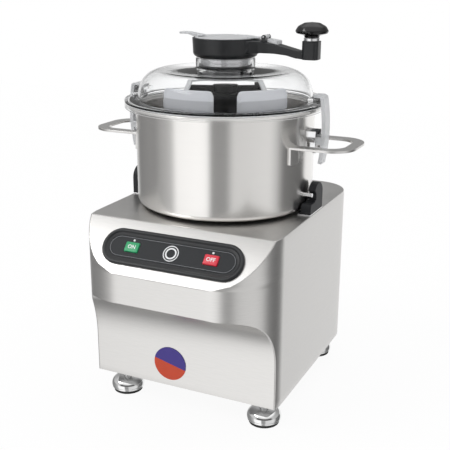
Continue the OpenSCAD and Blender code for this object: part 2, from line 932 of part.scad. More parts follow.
// Outline of one curved blade arm: it leans back as the radius grows and narrows to its tip.
function blade_outline(root_r) = concat(
    [for (i = [0 : blade_points])
        let (u = i / blade_points, r = root_r + (blade_r - root_r) * u, a = -blade_sweep * u * u)
        [r * cos(a), r * sin(a)]],
    [for (i = [blade_points : -1 : 0])
        let (
            u = i / blade_points,
            r = root_r + (blade_r - root_r) * u,
            a = -blade_sweep * u * u + (26 - 16 * u) / r * 57.3
        )
        [r * cos(a), r * sin(a)]]
);

// Two curved arms on a ring that slides over the hub.
module blade_pair(z, turn) {
    color(polished_color) translate([0, 0, z]) rotate([0, 0, turn]) difference() {
        linear_extrude(blade_t) union() {
            circle(r = hub_foot_r);
            for (side = [0, 180]) rotate([0, 0, side]) polygon(blade_outline(hub_r + 1));
        }
        translate([0, 0, -1]) cylinder(r = hub_r, h = blade_t + 2);
    }
}

module lower_blade() {
    blade_pair(blade_low_z, 10);
}

module upper_blade() {
    blade_pair(blade_up_z, 100);
}

module blade_spacer() {
    color(black_color) translate([0, 0, blade_low_z + blade_t])
        ring(hub_foot_r - 1, hub_r, blade_pitch - blade_t);
}

module blade_nut() {
    color(black_color) translate([0, 0, blade_up_z + blade_t]) ring(hub_foot_r, hub_r, blade_nut_h);
}

// Bowl with a rounded bottom corner, a centre tube and a rolled rim.
module bowl_shell() {
    color(steel_color) difference() {
        union() {
            translate([0, 0, bowl_z + bowl_corner_r])
                cylinder(r = bowl_r, h = rim_z - bowl_z - bowl_corner_r);
            translate([0, 0, bowl_z]) cylinder(r = bowl_r - bowl_corner_r, h = bowl_corner_r + 1);
            translate([0, 0, bowl_z + bowl_corner_r])
                rotate_extrude()
                    translate([bowl_r - bowl_corner_r, 0]) intersection() {
                        circle(r = bowl_corner_r);
                        translate([0, -bowl_corner_r]) square(bowl_corner_r);
                    }
            translate([0, 0, rim_z - rim_t]) cylinder(r = rim_r, h = rim_t);
            translate([0, 0, rim_z - 4]) ring(rim_r, rim_r - 1.6, 4);
        }
        difference() {
            union() {
                translate([0, 0, bowl_z + bowl_corner_r]) cylinder(r = bowl_inner_r, h = rim_z);
                translate([0, 0, bowl_z + bowl_t])
                    cylinder(r = bowl_r - bowl_corner_r, h = bowl_corner_r);
                translate([0, 0, bowl_z + bowl_corner_r])
                    rotate_extrude()
                        translate([bowl_r - bowl_corner_r, 0]) intersection() {
                            circle(r = bowl_corner_r - bowl_t);
                            translate([0, -bowl_corner_r]) square(bowl_corner_r);
                        }
            }
            cylinder(r = chimney_r, h = chimney_z);
        }
        translate([0, 0, bowl_z - 1]) cylinder(r = chimney_inner_r, h = rim_z);
    }
}

// Plan of a flat handle loop on the +X side.
module handle_loop(half, reach, r) {
    union() {
        translate([0, -half]) square([reach - r, 2 * half]);
        translate([0, -half + r]) square([reach, 2 * (half - r)]);
        for (side = [-1, 1]) translate([reach - r, side * (half - r)]) circle(r = r);
    }
}

tab_h = 21;

module handle() {
    color(steel_color) difference() {
        union() {
            translate([0, 0, handle_z - handle_t / 2]) linear_extrude(handle_t) difference() {
                handle_loop(handle_half, handle_reach, 34);
                handle_loop(handle_half - handle_strip, handle_reach - handle_strip, 22);
                circle(r = bowl_r + 1);
            }
            // Tabs bent down onto the wall
            intersection() {
                translate([0, 0, handle_z - handle_t / 2 - tab_h])
                    ring(bowl_r + handle_t, bowl_r, tab_h + handle_t);
                for (side = [-1, 1])
                    translate([60, side * (handle_half - handle_strip / 2) - handle_strip / 2, 0])
                        cube([90, handle_strip, rim_z]);
            }
        }
        cylinder(r = bowl_r, h = rim_z);
    }
}

module handle_right() {
    handle();
}

module handle_left() {
    rotate([0, 0, 180]) handle();
}

module latch_brackets() {
    color(polished_color)
        for (turn = [0, 180]) rotate([0, 0, turn])
            difference() {
                translate([100, -bracket_half, latch_pivot_z - bracket_h / 2])
                    cube([latch_pivot_x + 4 - 100, 2 * bracket_half, bracket_h]);
                cylinder(r = bowl_r, h = rim_z);
                difference() {
                    translate([100, -bracket_half + bracket_cheek, latch_pivot_z - bracket_h])
                        cube([60, 2 * (bracket_half - bracket_cheek), 2 * bracket_h]);
                    cylinder(r = bowl_r + bracket_cheek, h = rim_z);
                }
                translate([latch_pivot_x, 0, latch_pivot_z]) rotate([90, 0, 0])
                    cylinder(r = latch_pin_r, h = 80, center = true);
            }
}

module latch_pins() {
    color(polished_color)
        for (side = [-1, 1])
            translate([side * latch_pivot_x, 0, latch_pivot_z]) rotate([90, 0, 0]) {
                cylinder(r = latch_pin_r, h = 2 * bracket_half, center = true);
                for (end = [-1, 1])
                    translate([0, 0, end * (bracket_half + 0.9)])
                        cylinder(r = latch_pin_r + 1.3, h = 1.8, center = true);
            }
}

// Bowed lever that hooks over an ear of the lid, on the +X side.
module latch() {
    half_span = (latch_hook_z - latch_tail_z) / 2;
    mid_z = (latch_hook_z + latch_tail_z) / 2;
    sag = latch_crown_x - latch_top_x;
    bow_r = (half_span * half_span + sag * sag) / (2 * sag);
    color(milky_color) difference() {
        union() {
            // Strip
            intersection() {
                translate([latch_crown_x + latch_t / 2 - bow_r, 0, mid_z]) rotate([90, 0, 0])
                    difference() {
                        cylinder(r = bow_r, h = latch_w, center = true, $fn = 180);
                        cylinder(r = bow_r - latch_t, h = latch_w + 2, center = true, $fn = 180);
                    }
                translate([latch_hook_x, -latch_w, latch_tail_z])
                    cube([60, 2 * latch_w, latch_hook_z + latch_hook_t - latch_tail_z]);
            }
            // Hook over the lid ear
            translate([latch_hook_x, -latch_w / 2, latch_hook_z])
                cube([latch_top_x - latch_hook_x, latch_w, latch_hook_t]);
            // Pivot lugs
            for (side = [-1, 1])
                translate([latch_pivot_x, side * (latch_w / 2 - 2), latch_pivot_z]) rotate([90, 0, 0]) {
                    cylinder(r = latch_pin_r + 2.5, h = 4, center = true);
                    translate([0, -latch_pin_r - 2.5, -2])
                        cube([latch_crown_x - latch_pivot_x, 2 * latch_pin_r + 5, 4]);
                }
        }
        translate([latch_pivot_x, 0, latch_pivot_z]) rotate([90, 0, 0])
            cylinder(r = latch_pin_r + fit_gap, h = 80, center = true);
    }
}

module latch_right() {
    latch();
}

module latch_left() {
    rotate([0, 0, 180]) latch();
}

// Steel pins that the bayonet hooks hold down.
module bowl_pins() {
    color(polished_color)
        for (turn = [0, 180]) rotate([0, 0, turn]) difference() {
            translate([0, -pin_y, pin_z]) rotate([0, 90, 0]) cylinder(r = pin_r, h = pin_out);
            cylinder(r = bowl_r, h = rim_z);
        }
}

// Points along the dome corner: a quarter ellipse from the flat top down to the wall.
function dome_arc(inset, steps) = [
    for (i = [0 : steps])
        let (a = 90 * i / steps)
        [lid_flat_r + (lid_dome_r - inset - lid_flat_r) * sin(a),
            dome_foot_z + dome_foot_h + (lid_rise - inset - dome_foot_h) * cos(a)]
];

// Height of the dome's inner face at a radius beyond its flat top.
function dome_inside(r) =
    let (a = asin((r - lid_flat_r) / (lid_dome_r - lid_t - lid_flat_r)))
    dome_foot_z + dome_foot_h + (lid_rise - lid_t - dome_foot_h) * cos(a);

// Clear dome with its neck, flange, locating lip, skirt and two ears.
module lid_shell() {
    lip_low_z = lid_flange_z - lip_drop;
    color(clear_color) difference() {
        union() {
            rotate_extrude() polygon(concat(
                [[0, dome_top_z + crown_rise], [neck_r, dome_top_z + crown_rise]],
                dome_arc(0, 9),
                [[lid_dome_r, dome_foot_z - 1], [0, dome_foot_z - 1]]));
            translate([0, 0, lid_flange_z]) cylinder(r = lid_r, h = lid_flange_t);
            translate([0, 0, skirt_low_z]) ring(lid_r, rim_r + 2, lid_flange_z + 1 - skirt_low_z);
            translate([0, 0, dome_top_z]) cylinder(r = neck_r, h = neck_h);
            translate([0, 0, lip_low_z]) ring(lip_r, lip_r - lip_t, lip_drop + 1);
            for (side = [0, 180]) rotate([0, 0, side]) lid_ear();
        }
        rotate_extrude() polygon(concat(
            [[0, dome_top_z + crown_rise - lid_t], [neck_r, dome_top_z + crown_rise - lid_t]],
            dome_arc(lid_t, 9),
            [[lid_dome_r - lid_t, lip_low_z - 5], [0, lip_low_z - 5]]));
        translate([0, 0, dome_top_z - 20]) cylinder(r = neck_inner_r, h = 80);
    }
}

// Ear that a latch hooks over: flat on top, then sloping down and out.
module lid_ear() {
    rotate([90, 0, 0]) translate([0, 0, -ear_w / 2]) linear_extrude(ear_w) polygon([
        [ear_in, lid_flange_z + 1], [ear_in, ear_top_z], [ear_flat_x, ear_top_z],
        [ear_out, ear_low_z], [ear_out, lid_flange_z + 1]
    ]);
}

module lid_gasket() {
    color(milky_color) translate([0, 0, rim_z + run_gap]) ring(rim_r - 1, bowl_r, gasket_t);
}

// Cup with an arm and a boss for the knob.
module crank_handle() {
    brim_r = cup_r - 1.5;
    hollow_r = cup_r - cup_wall;
    color(black_color) difference() {
        union() {
            translate([0, 0, cup_z]) cylinder(r1 = cup_floor_r, r2 = brim_r, h = cup_curve_h);
            translate([0, 0, cup_z + cup_curve_h])
                cylinder(r1 = brim_r, r2 = cup_r, h = cup_h - cup_curve_h);
            crank_arm();
            translate([crank_throw, 0, boss_low_z]) linear_extrude(boss_top_z - boss_low_z) union() {
                square([boss_w, boss_w - 2 * boss_round], center = true);
                square([boss_w - 2 * boss_round, boss_w], center = true);
                for (sx = [-1, 1], sy = [-1, 1])
                    translate([sx * (boss_w / 2 - boss_round), sy * (boss_w / 2 - boss_round)])
                        circle(r = boss_round);
            }
            // Ears that hold the cap's hinge pin
            for (side = [-1, 1])
                translate([cap_hinge_x, side * (cap_ear_y + cap_ear_w / 2), cap_hinge_z])
                    rotate([90, 0, 0]) linear_extrude(cap_ear_w, center = true) union() {
                        circle(r = cap_barrel_r + 1);
                        translate([-cap_barrel_r - 1, -14]) square([2 * cap_barrel_r + 2, 14]);
                    }
        }
        translate([0, 0, cup_z + cup_floor_t]) cylinder(r1 = sleeve_r, r2 = hollow_r, h = 7);
        translate([0, 0, cup_z + cup_floor_t + 7]) cylinder(r = hollow_r, h = 60);
        translate([0, 0, cup_z - 1]) cylinder(r = sleeve_r, h = 40);
        translate([crank_throw, 0, boss_low_z + 8]) cylinder(r = stud_pin_r, h = 60);
        translate([cap_hinge_x, 0, cap_hinge_z]) rotate([90, 0, 0])
            cylinder(r = cap_pin_r, h = 60, center = true);
    }
}

// Top line of the arm: nearly level at the cup, then falling more and more steeply.
arm_knees = [cup_r + 10, cup_r + 30, crank_throw - boss_w / 2 - 7];
function arm_top(x) =
    x < arm_knees[1]
        ? cup_top_z - 2.5 - 0.15 * (x - arm_knees[0])
        : cup_top_z - 5.5 - 0.235 * (min(x, arm_knees[2]) - arm_knees[1]);

// Arm that drops from the brim to the boss, narrowing as it goes, channelled on top.
module crank_arm() {
    x0 = cup_r - 6;
    x1 = crank_throw - boss_w / 2 + 1;
    difference() {
        intersection() {
            rotate([90, 0, 0]) linear_extrude(2 * crank_arm_w, center = true) polygon([
                [x0 - 6, cup_top_z - 1.5], [x0, cup_top_z - 1.5],
                for (x = arm_knees) [x, arm_top(x)],
                [x1, arm_top(x1)], [x1, boss_low_z], [x1 - 22, boss_low_z + 4.5],
                [x0 + 14, boss_low_z + 6], [x0, boss_low_z + 4], [x0 - 6, boss_low_z + 4]
            ]);
            linear_extrude(cup_top_z + 10) polygon([
                [x0 - 6, -arm_root_w / 2], [x0 + 16, -crank_arm_w / 2], [x1, -crank_arm_end_w / 2],
                [x1, crank_arm_end_w / 2], [x0 + 16, crank_arm_w / 2], [x0 - 6, arm_root_w / 2]
            ]);
        }
        // Channel along the top
        rotate([90, 0, 0]) linear_extrude(channel_w, center = true) polygon([
            [x0 + 42, cup_top_z + 5], [x0 + 42, arm_top(x0 + 42) - channel_depth],
            [x1 - 8, arm_top(x1 - 8) - channel_depth], [x1 - 5, cup_top_z + 5]
        ]);
    }
}

module cap_hinge_pin() {
    color(polished_color) translate([cap_hinge_x, 0, cap_hinge_z]) rotate([90, 0, 0])
        cylinder(r = cap_pin_r, h = 2 * (cap_ear_y + cap_ear_w) + 1, center = true);
}

// Flared clip on the arm, just beyond the cap's hinge.
module cap_clip() {
    x0 = cap_hinge_x + cap_barrel_r + 1.4;
    knee = arm_knees[1];
    low = arm_top(x0);
    color(milky_color) intersection() {
        rotate([90, 0, 0]) linear_extrude(2 * crank_arm_w, center = true) polygon([
            [x0, low + fit_gap], [x0, low + clip_t + 2.5], [x0 + clip_l, low + clip_t],
            [x0 + clip_l, arm_top(x0 + clip_l) + fit_gap], [knee, arm_top(knee) + fit_gap]
        ]);
        linear_extrude(cup_top_z + 10) polygon([
            [x0, -6], [x0 + clip_l, -9], [x0 + clip_l, 9], [x0, 6]
        ]);
    }
}

module crank_sleeve() {
    color(polished_color) translate([0, 0, sleeve_low_z])
        ring(sleeve_r, sleeve_r - sleeve_t, cup_z + cup_floor_t - sleeve_low_z);
}

module sleeve_bush() {
    color(black_color) translate([0, 0, dome_top_z + 3])
        ring(neck_inner_r - run_gap, sleeve_r, 3);
}

// Two wall paddles on arms, carried by a ring on the crank sleeve.
module scraper() {
    paddle_top_z = dome_inside(paddle_top_r) - 10;
    color(milky_color) {
        translate([0, 0, sleeve_low_z])
            ring(sleeve_r + scraper_ring_t, sleeve_r, scraper_ring_h);
        for (side = [-1, 1]) rotate([0, 0, paddle_turn]) {
            rotate([0, 0, side * (paddle_gap + paddle_span / 2)])
                rotate([90, 0, 0]) linear_extrude(arm_w, center = true) polygon([
                    [sleeve_r + 2, arm_z], [sleeve_r + 2, arm_z + arm_t],
                    [arm_bend_r, arm_z + arm_t], [paddle_top_r - 0.3, paddle_top_z],
                    [paddle_top_r - 0.3, paddle_top_z - arm_t - 1], [arm_bend_r - 1, arm_z]
                ]);
            paddle(side, paddle_top_r, paddle_step_z, paddle_top_z);
            paddle_shelf(side);
            paddle(side, paddle_r, paddle_low_z, paddle_step_z + 1);
        }
    }
}

// Wedge between two angles.
module sector(a0, a1, r) {
    polygon(concat(
        [[0, 0]],
        [for (i = [0 : 4]) let (a = a0 + (a1 - a0) * i / 4) [r * cos(a), r * sin(a)]]));
}

module paddle(side, outer, low, high) {
    a = side * paddle_gap;
    b = side * (paddle_gap + paddle_span);
    translate([0, 0, low]) intersection() {
        ring(outer, outer - paddle_t, high - low);
        linear_extrude(high - low) sector(min(a, b), max(a, b), 2 * outer);
    }
}

module paddle_shelf(side) {
    a = side * paddle_gap;
    b = side * (paddle_gap + paddle_span);
    translate([0, 0, paddle_step_z]) intersection() {
        ring(paddle_r, paddle_top_r - paddle_t, paddle_step_t);
        linear_extrude(paddle_step_t) sector(min(a, b), max(a, b), 2 * paddle_r);
    }
}

module knob_stud() {
    color(polished_color) translate([crank_throw, 0, boss_top_z]) {
        translate([0, 0, -10]) cylinder(r = stud_pin_r, h = 10);
        cylinder(r = stud_collar_r, h = stud_collar_h);
        cylinder(r = stud_pin_r, h = stud_collar_h + knob_h - 6);
    }
}

// Mushroom knob with a flattened crown.
module crank_knob() {
    waist = 9.5;
    color(black_color) translate([crank_throw, 0, knob_z]) difference() {
        rotate_extrude() polygon(concat(
            [[0, 0], [waist, 0]],
            [for (i = [0 : 6]) let (a = -70 + 70 * i / 6)
                [waist + (knob_r - waist) * cos(a), knob_h * 0.42 + knob_h * 0.34 * sin(a)]],
            [for (i = [1 : 8]) let (a = 90 * i / 8)
                [knob_r * cos(a), knob_h * 0.42 + knob_h * 0.58 * sin(a)]]));
        translate([0, 0, -1]) cylinder(r = stud_pin_r + fit_gap, h = knob_h - 5);
    }
}

module feed_cap() {
    color(milky_color) difference() {
        union() {
            translate([0, 0, cap_z]) cylinder(r = cap_r, h = cap_t);
            translate([0, 0, cap_z - cap_plug_h])
                ring(cap_plug_r, cap_plug_r - cap_plug_t, cap_plug_h + 1);
            // Finger tab that rises away from the brim
            rotate([90, 0, 0]) linear_extrude(cap_tab_w, center = true) polygon([
                [8 - cap_r, strap_z], [8 - cap_r, strap_z + strap_t],
                [-cup_r - 9, strap_z + strap_t + 3], [-cap_r - cap_tab, strap_z + strap_t + 3.4],
                [-cap_r - cap_tab, strap_z + 2.4], [-cup_r - 9, strap_z + 2.6], [-cup_r, strap_z]
            ]);
            // Strap to the hinge
            translate([cap_r - 8, -cap_barrel_w / 2, strap_z])
                cube([cap_hinge_x - cap_r + 8, cap_barrel_w, strap_t]);
            translate([cap_hinge_x, 0, cap_hinge_z]) rotate([90, 0, 0])
                cylinder(r = cap_barrel_r, h = cap_barrel_w, center = true);
        }
        translate([cap_hinge_x, 0, cap_hinge_z]) rotate([90, 0, 0])
            cylinder(r = cap_pin_r + fit_gap, h = 60, center = true);
    }
}

// Push button with a retaining flange behind the bezel and a stem to its switch.
module button_solid() {
    flange_low = -run_gap - button_flange_t;
    face_z = bezel_floor + overlay_t + button_proud;
    translate([-button_w / 2, -button_h / 2, flange_low])
        cube([button_w, button_h, face_z - flange_low]);
    translate([-button_w / 2 - button_flange, -button_h / 2 - button_flange, flange_low])
        cube([button_w + 2 * button_flange, button_h + 2 * button_flange, button_flange_t]);
    translate([-stem_w / 2, -stem_w / 2, stem_low]) cube([stem_w, stem_w, stem_l + 1]);
}

module green_button() {
    color(green_color) on_face() translate([-button_x, 0, 0]) button_solid();
}

module red_button() {
    color(red_color) on_face() translate([button_x, 0, 0]) button_solid();
}

base_housing();
rear_cover();
bottom_plate();
cover_screws();
foot_domes();
foot_pads();
foot_studs();
control_bezel();
control_overlay();
indicator_lamps();
round_emblem();
round_badge();
cable_gland();
gland_nut();
bowl_seat();
seat_screws();
bayonet_hooks();
hook_plates();
hook_screws();
drive_flange();
motor_housing();
motor_end_bell();
motor_stator();
stator_windings();
motor_bearings();
shaft_seal();
run_capacitor();
capacitor_clip();
control_board();
contactor();
switch_blocks();
drive_shaft();
motor_rotor();
cooling_fan();
blade_hub();
lower_blade();
blade_spacer();
upper_blade();
blade_nut();
bowl_shell();
handle_right();
handle_left();
latch_brackets();
latch_pins();
bowl_pins();
latch_right();
latch_left();
lid_shell();
lid_gasket();
crank_handle();
crank_sleeve();
sleeve_bush();
scraper();
knob_stud();
cap_clip();
cap_hinge_pin();
crank_knob();
feed_cap();
green_button();
red_button();
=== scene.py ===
import math

import bmesh
import bpy
import numpy as np
from mathutils import Matrix, Vector


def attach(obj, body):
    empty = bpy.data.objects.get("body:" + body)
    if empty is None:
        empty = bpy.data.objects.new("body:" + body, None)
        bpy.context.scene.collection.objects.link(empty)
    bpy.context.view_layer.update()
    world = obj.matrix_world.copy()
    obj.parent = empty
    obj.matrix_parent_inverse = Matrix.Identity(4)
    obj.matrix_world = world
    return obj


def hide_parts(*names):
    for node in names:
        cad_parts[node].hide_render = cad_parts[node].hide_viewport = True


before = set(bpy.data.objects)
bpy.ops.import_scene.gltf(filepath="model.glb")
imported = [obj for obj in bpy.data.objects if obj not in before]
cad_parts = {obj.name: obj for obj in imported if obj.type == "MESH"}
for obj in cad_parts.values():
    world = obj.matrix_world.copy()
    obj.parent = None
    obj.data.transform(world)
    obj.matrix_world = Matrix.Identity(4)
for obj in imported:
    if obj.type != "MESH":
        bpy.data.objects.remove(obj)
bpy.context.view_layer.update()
scene = bpy.context.scene
mm = 0.001

# Camera, as solved from the photograph. Angles are in degrees and lengths in metres.
cameraSet = dict(azimuth=25.1, elevation=17.54, roll=0.2, distance=1.1998, target=(0, 0, 0.2399), lens=65.54)


def placeCamera():
    az, el, roll = (math.radians(cameraSet[k]) for k in ("azimuth", "elevation", "roll"))
    back = Vector((math.sin(az) * math.cos(el), -math.cos(az) * math.cos(el), math.sin(el)))
    right = Vector((math.cos(az), math.sin(az), 0))
    up = back.cross(right)
    turnedRight = right * math.cos(roll) + up * math.sin(roll)
    turnedUp = up * math.cos(roll) - right * math.sin(roll)
    data = bpy.data.cameras.new("camera")
    data.lens = cameraSet["lens"]
    data.sensor_width = 36
    data.clip_start = 0.05
    camera = bpy.data.objects.new("camera", data)
    place = Vector(cameraSet["target"]) + back * cameraSet["distance"]
    axes = Matrix((turnedRight, turnedUp, back)).transposed().to_4x4()
    camera.matrix_world = Matrix.Translation(place) @ axes
    scene.collection.objects.link(camera)
    scene.camera = camera


placeCamera()
scene.view_settings.view_transform = "Standard"
print("camera placed")


# Shader helpers
def nodesOf(material):
    material.use_nodes = True
    tree = material.node_tree
    return tree, tree.nodes["Principled BSDF"]


def addNode(tree, kind, **values):
    node = tree.nodes.new(kind)
    for key, value in values.items():
        setattr(node, key, value)
    return node


# A plain material. edge is the radius in millimetres that sharp edges are shaded with.
def basic(name, color, rough, metal=0.0, edge=0.0, specular=0.5, **more):
    material = bpy.data.materials.new(name)
    tree, shader = nodesOf(material)
    if edge:
        bevel = addNode(tree, "ShaderNodeBevel", samples=6)
        bevel.inputs["Radius"].default_value = edge * mm
        tree.links.new(bevel.outputs["Normal"], shader.inputs["Normal"])
    values = {"Base Color": (*color, 1), "Roughness": rough, "Metallic": metal,
              "Specular IOR Level": specular}
    for key, value in (values | more).items():
        shader.inputs[key].default_value = value
    return material


# Links a grey number from low to high, as a value runs from start to end, and returns its socket.
def mapped(tree, value, start, end, low=0.0, high=1.0, kind="LINEAR"):
    node = addNode(tree, "ShaderNodeMapRange", interpolation_type=kind)
    for key, number in (("From Min", start), ("From Max", end), ("To Min", low), ("To Max", high)):
        node.inputs[key].default_value = number
    tree.links.new(value, node.inputs["Value"])
    return node.outputs["Result"]


# The Z of a point on the object, in metres.
def heightOf(tree):
    coords = addNode(tree, "ShaderNodeTexCoord")
    point = addNode(tree, "ShaderNodeSeparateXYZ")
    tree.links.new(coords.outputs["Object"], point.inputs[0])
    return point.outputs["Z"]


# Multiplies a material's colour by a number that varies over the surface.
def tintBy(tree, shader, amount):
    product = addNode(tree, "ShaderNodeVectorMath", operation="SCALE")
    if shader.inputs["Base Color"].links:
        tree.links.new(shader.inputs["Base Color"].links[0].from_socket, product.inputs[0])
    else:
        product.inputs[0].default_value = shader.inputs["Base Color"].default_value[:3]
    tree.links.new(amount, product.inputs["Scale"])
    tree.links.new(product.outputs[0], shader.inputs["Base Color"])


# Fine streaks that vary the roughness and the tint. stretch is the scale along X, Y and Z.
def grain(material, scale, stretch=(1, 1, 1), roughSpread=0.05, colorSpread=0.1, bump=0.0, bumpDepth=0.05):
    tree, shader = nodesOf(material)
    coords = addNode(tree, "ShaderNodeTexCoord")
    mapping = addNode(tree, "ShaderNodeMapping")
    mapping.inputs["Scale"].default_value = stretch
    noise = addNode(tree, "ShaderNodeTexNoise")
    noise.inputs["Scale"].default_value = scale
    noise.inputs["Detail"].default_value = 4
    tree.links.new(coords.outputs["Object"], mapping.inputs["Vector"])
    tree.links.new(mapping.outputs["Vector"], noise.inputs["Vector"])
    streaks = noise.outputs["Fac"]
    base = shader.inputs["Roughness"].default_value
    rough = mapped(tree, streaks, 0, 1, base - roughSpread, base + roughSpread)
    tree.links.new(rough, shader.inputs["Roughness"])
    tintBy(tree, shader, mapped(tree, streaks, 0, 1, 1 - colorSpread, 1 + colorSpread))
    if bump:
        bumpNode = addNode(tree, "ShaderNodeBump")
        bumpNode.inputs["Strength"].default_value = bump
        bumpNode.inputs["Distance"].default_value = bumpDepth * mm
        tree.links.new(streaks, bumpNode.inputs["Height"])
        if shader.inputs["Normal"].links:
            tree.links.new(shader.inputs["Normal"].links[0].from_socket, bumpNode.inputs["Normal"])
        tree.links.new(bumpNode.outputs["Normal"], shader.inputs["Normal"])
    return material


# Painted shade: darkens a face that slopes forwards and up towards its upper edge, between two heights.
# Such a face is known by its normal's Y times its Z: near -0.5 on it, and 0 on upright and level faces.
def paintedFacetShade(material, low, high, dark):
    tree, shader = nodesOf(material)
    geometry = addNode(tree, "ShaderNodeNewGeometry")
    normal = addNode(tree, "ShaderNodeSeparateXYZ")
    tree.links.new(geometry.outputs["Normal"], normal.inputs[0])
    slope = addNode(tree, "ShaderNodeMath", operation="MULTIPLY")
    tree.links.new(normal.outputs["Y"], slope.inputs[0])
    tree.links.new(normal.outputs["Z"], slope.inputs[1])
    amount = addNode(tree, "ShaderNodeMath", operation="MULTIPLY")
    tree.links.new(mapped(tree, slope.outputs[0], -0.15, -0.45), amount.inputs[0])
    tree.links.new(mapped(tree, heightOf(tree), low * mm, high * mm), amount.inputs[1])
    tintBy(tree, shader, mapped(tree, amount.outputs[0], 0, 1, 1, 1 - dark))


# Painted shade: darkens what lies below a crease at one height.
def paintedCreaseShade(material, height, below):
    tree, shader = nodesOf(material)
    tintBy(tree, shader, mapped(tree, heightOf(tree), (height - 0.8) * mm, (height + 0.8) * mm, below, 1))


# Finishes. The shader's own values come first, then the grain where there is one.
steel = grain(basic("steelBody", (0.70, 0.69, 0.675), 0.32, 1.0), scale=60, stretch=(1, 1, 14),
              roughSpread=0.06, colorSpread=0.07, bump=0.05, bumpDepth=0.1)
steelBowl = grain(basic("steelBowl", (0.80, 0.785, 0.765), 0.22, 1.0,
                        **{"Anisotropic": 0.8, "Anisotropic Rotation": 0.25}),
                  scale=30, stretch=(1, 1, 40), roughSpread=0.02, colorSpread=0.04)
steelBar = grain(basic("steelBar", (0.70, 0.69, 0.675), 0.3, 1.0, edge=1.0),
                 scale=120, stretch=(1, 8, 1), colorSpread=0.04)
sleeveSteel = basic("sleeveSteel", (0.5, 0.5, 0.51), 0.1, 1.0)
coreSteel = basic("coreSteel", (0.3, 0.3, 0.32), 0.5, 1.0)
chrome = basic("chrome", (0.72, 0.72, 0.73), 0.07, 1.0, edge=0.7)
chromeFoot = basic("chromeFoot", (0.8, 0.8, 0.8), 0.06, 1.0)
zinc = basic("zinc", (0.6, 0.6, 0.6), 0.4, 1.0, edge=0.4)
castMetal = grain(basic("castMetal", (0.62, 0.63, 0.64), 0.5, 1.0, edge=0.6), scale=400, colorSpread=0.04)
copper = basic("copper", (0.7, 0.33, 0.15), 0.4, 1.0)
blackPlastic = grain(basic("blackPlastic", (0.016, 0.017, 0.019), 0.34, edge=0.8, specular=0.42),
                     scale=900, bump=0.12)
bezelPlastic = grain(basic("bezelPlastic", (0.012, 0.013, 0.015), 0.34, specular=0.4), scale=900)
panelPlastic = grain(basic("panelPlastic", (0.014, 0.016, 0.019), 0.45, specular=0.3), scale=1200)
knobPlastic = basic("knobPlastic", (0.002, 0.002, 0.002), 0.1, specular=0.45)
hookPlastic = grain(basic("hookPlastic", (0.016, 0.017, 0.020), 0.5, edge=1.6, specular=0.35),
                    scale=900, colorSpread=0.12, bump=0.2)
hubPlastic = basic("hubPlastic", (0.006, 0.006, 0.007), 0.4, edge=1.0, specular=0.3)
milky = basic("milkyPlastic", (0.86, 0.87, 0.885), 0.3, edge=0.8, **{"Transmission Weight": 0.35})
paddlePlastic = basic("paddlePlastic", (0.76, 0.775, 0.815), 0.28, edge=0.8)
clear = basic("clearPlastic", (0.99, 0.993, 0.995), 0.01, **{"Transmission Weight": 1.0, "IOR": 1.22})
silicone = basic("silicone", (0.8, 0.81, 0.81), 0.5)
rubber = basic("rubber", (0.02, 0.02, 0.02), 0.7)
green = basic("greenPlastic", (0.02, 0.36, 0.14), 0.35, edge=0.8)
red = basic("redPlastic", (0.72, 0.02, 0.045), 0.35, edge=0.8)
ivory = basic("ivoryPlastic", (0.8, 0.79, 0.72), 0.5)
boardGreen = basic("boardGreen", (0.03, 0.2, 0.09), 0.5)
whitePrint = basic("whitePrint", (0.85, 0.86, 0.87), 0.5)
lineGrey = basic("lineGrey", (0.3, 0.31, 0.33), 0.5)
badgeBlue = basic("badgeBlue", (0.045, 0.025, 0.26), 0.4)
badgeOrange = basic("badgeOrange", (0.62, 0.055, 0.01), 0.4)
# Painted shade on the body's sloping control face, darker towards its upper edge.
paintedFacetShade(steel, low=226, high=276, dark=0.4)
print("materials made")

looks = {
    "base_housing": steel, "rear_cover": steel, "bottom_plate": zinc, "cover_screws": chrome,
    "foot_domes": chrome, "foot_pads": rubber, "foot_studs": zinc, "control_bezel": bezelPlastic,
    "control_overlay": panelPlastic, "indicator_lamps": whitePrint, "round_emblem": whitePrint,
    "round_badge": badgeBlue, "cable_gland": blackPlastic, "gland_nut": blackPlastic, "bowl_seat": castMetal,
    "seat_screws": chrome, "bayonet_hooks": hookPlastic, "hook_plates": chrome, "hook_screws": zinc,
    "drive_flange": castMetal, "motor_housing": castMetal, "motor_end_bell": castMetal,
    "motor_stator": coreSteel, "stator_windings": copper, "motor_bearings": zinc, "shaft_seal": rubber,
    "run_capacitor": ivory,
    "capacitor_clip": zinc, "control_board": boardGreen, "contactor": ivory, "switch_blocks": blackPlastic,
    "drive_shaft": chrome, "motor_rotor": coreSteel, "cooling_fan": blackPlastic, "blade_hub": hubPlastic,
    "lower_blade": steelBar, "blade_spacer": blackPlastic, "upper_blade": steelBar, "blade_nut": blackPlastic,
    "bowl_shell": steelBowl, "handle_right": steelBar, "handle_left": steelBar, "latch_brackets": chrome,
    "latch_pins": chrome, "bowl_pins": chrome, "latch_right": milky, "latch_left": milky, "lid_shell": clear,
    "lid_gasket": silicone, "crank_handle": blackPlastic, "crank_sleeve": sleeveSteel,
    "sleeve_bush": blackPlastic, "scraper": milky, "knob_stud": chrome, "cap_clip": milky,
    "cap_hinge_pin": milky, "crank_knob": knobPlastic, "feed_cap": milky, "green_button": green,
    "red_button": red,
}
for nodeName, material in looks.items():
    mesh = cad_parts[nodeName].data
    mesh.materials.clear()
    mesh.materials.append(material)


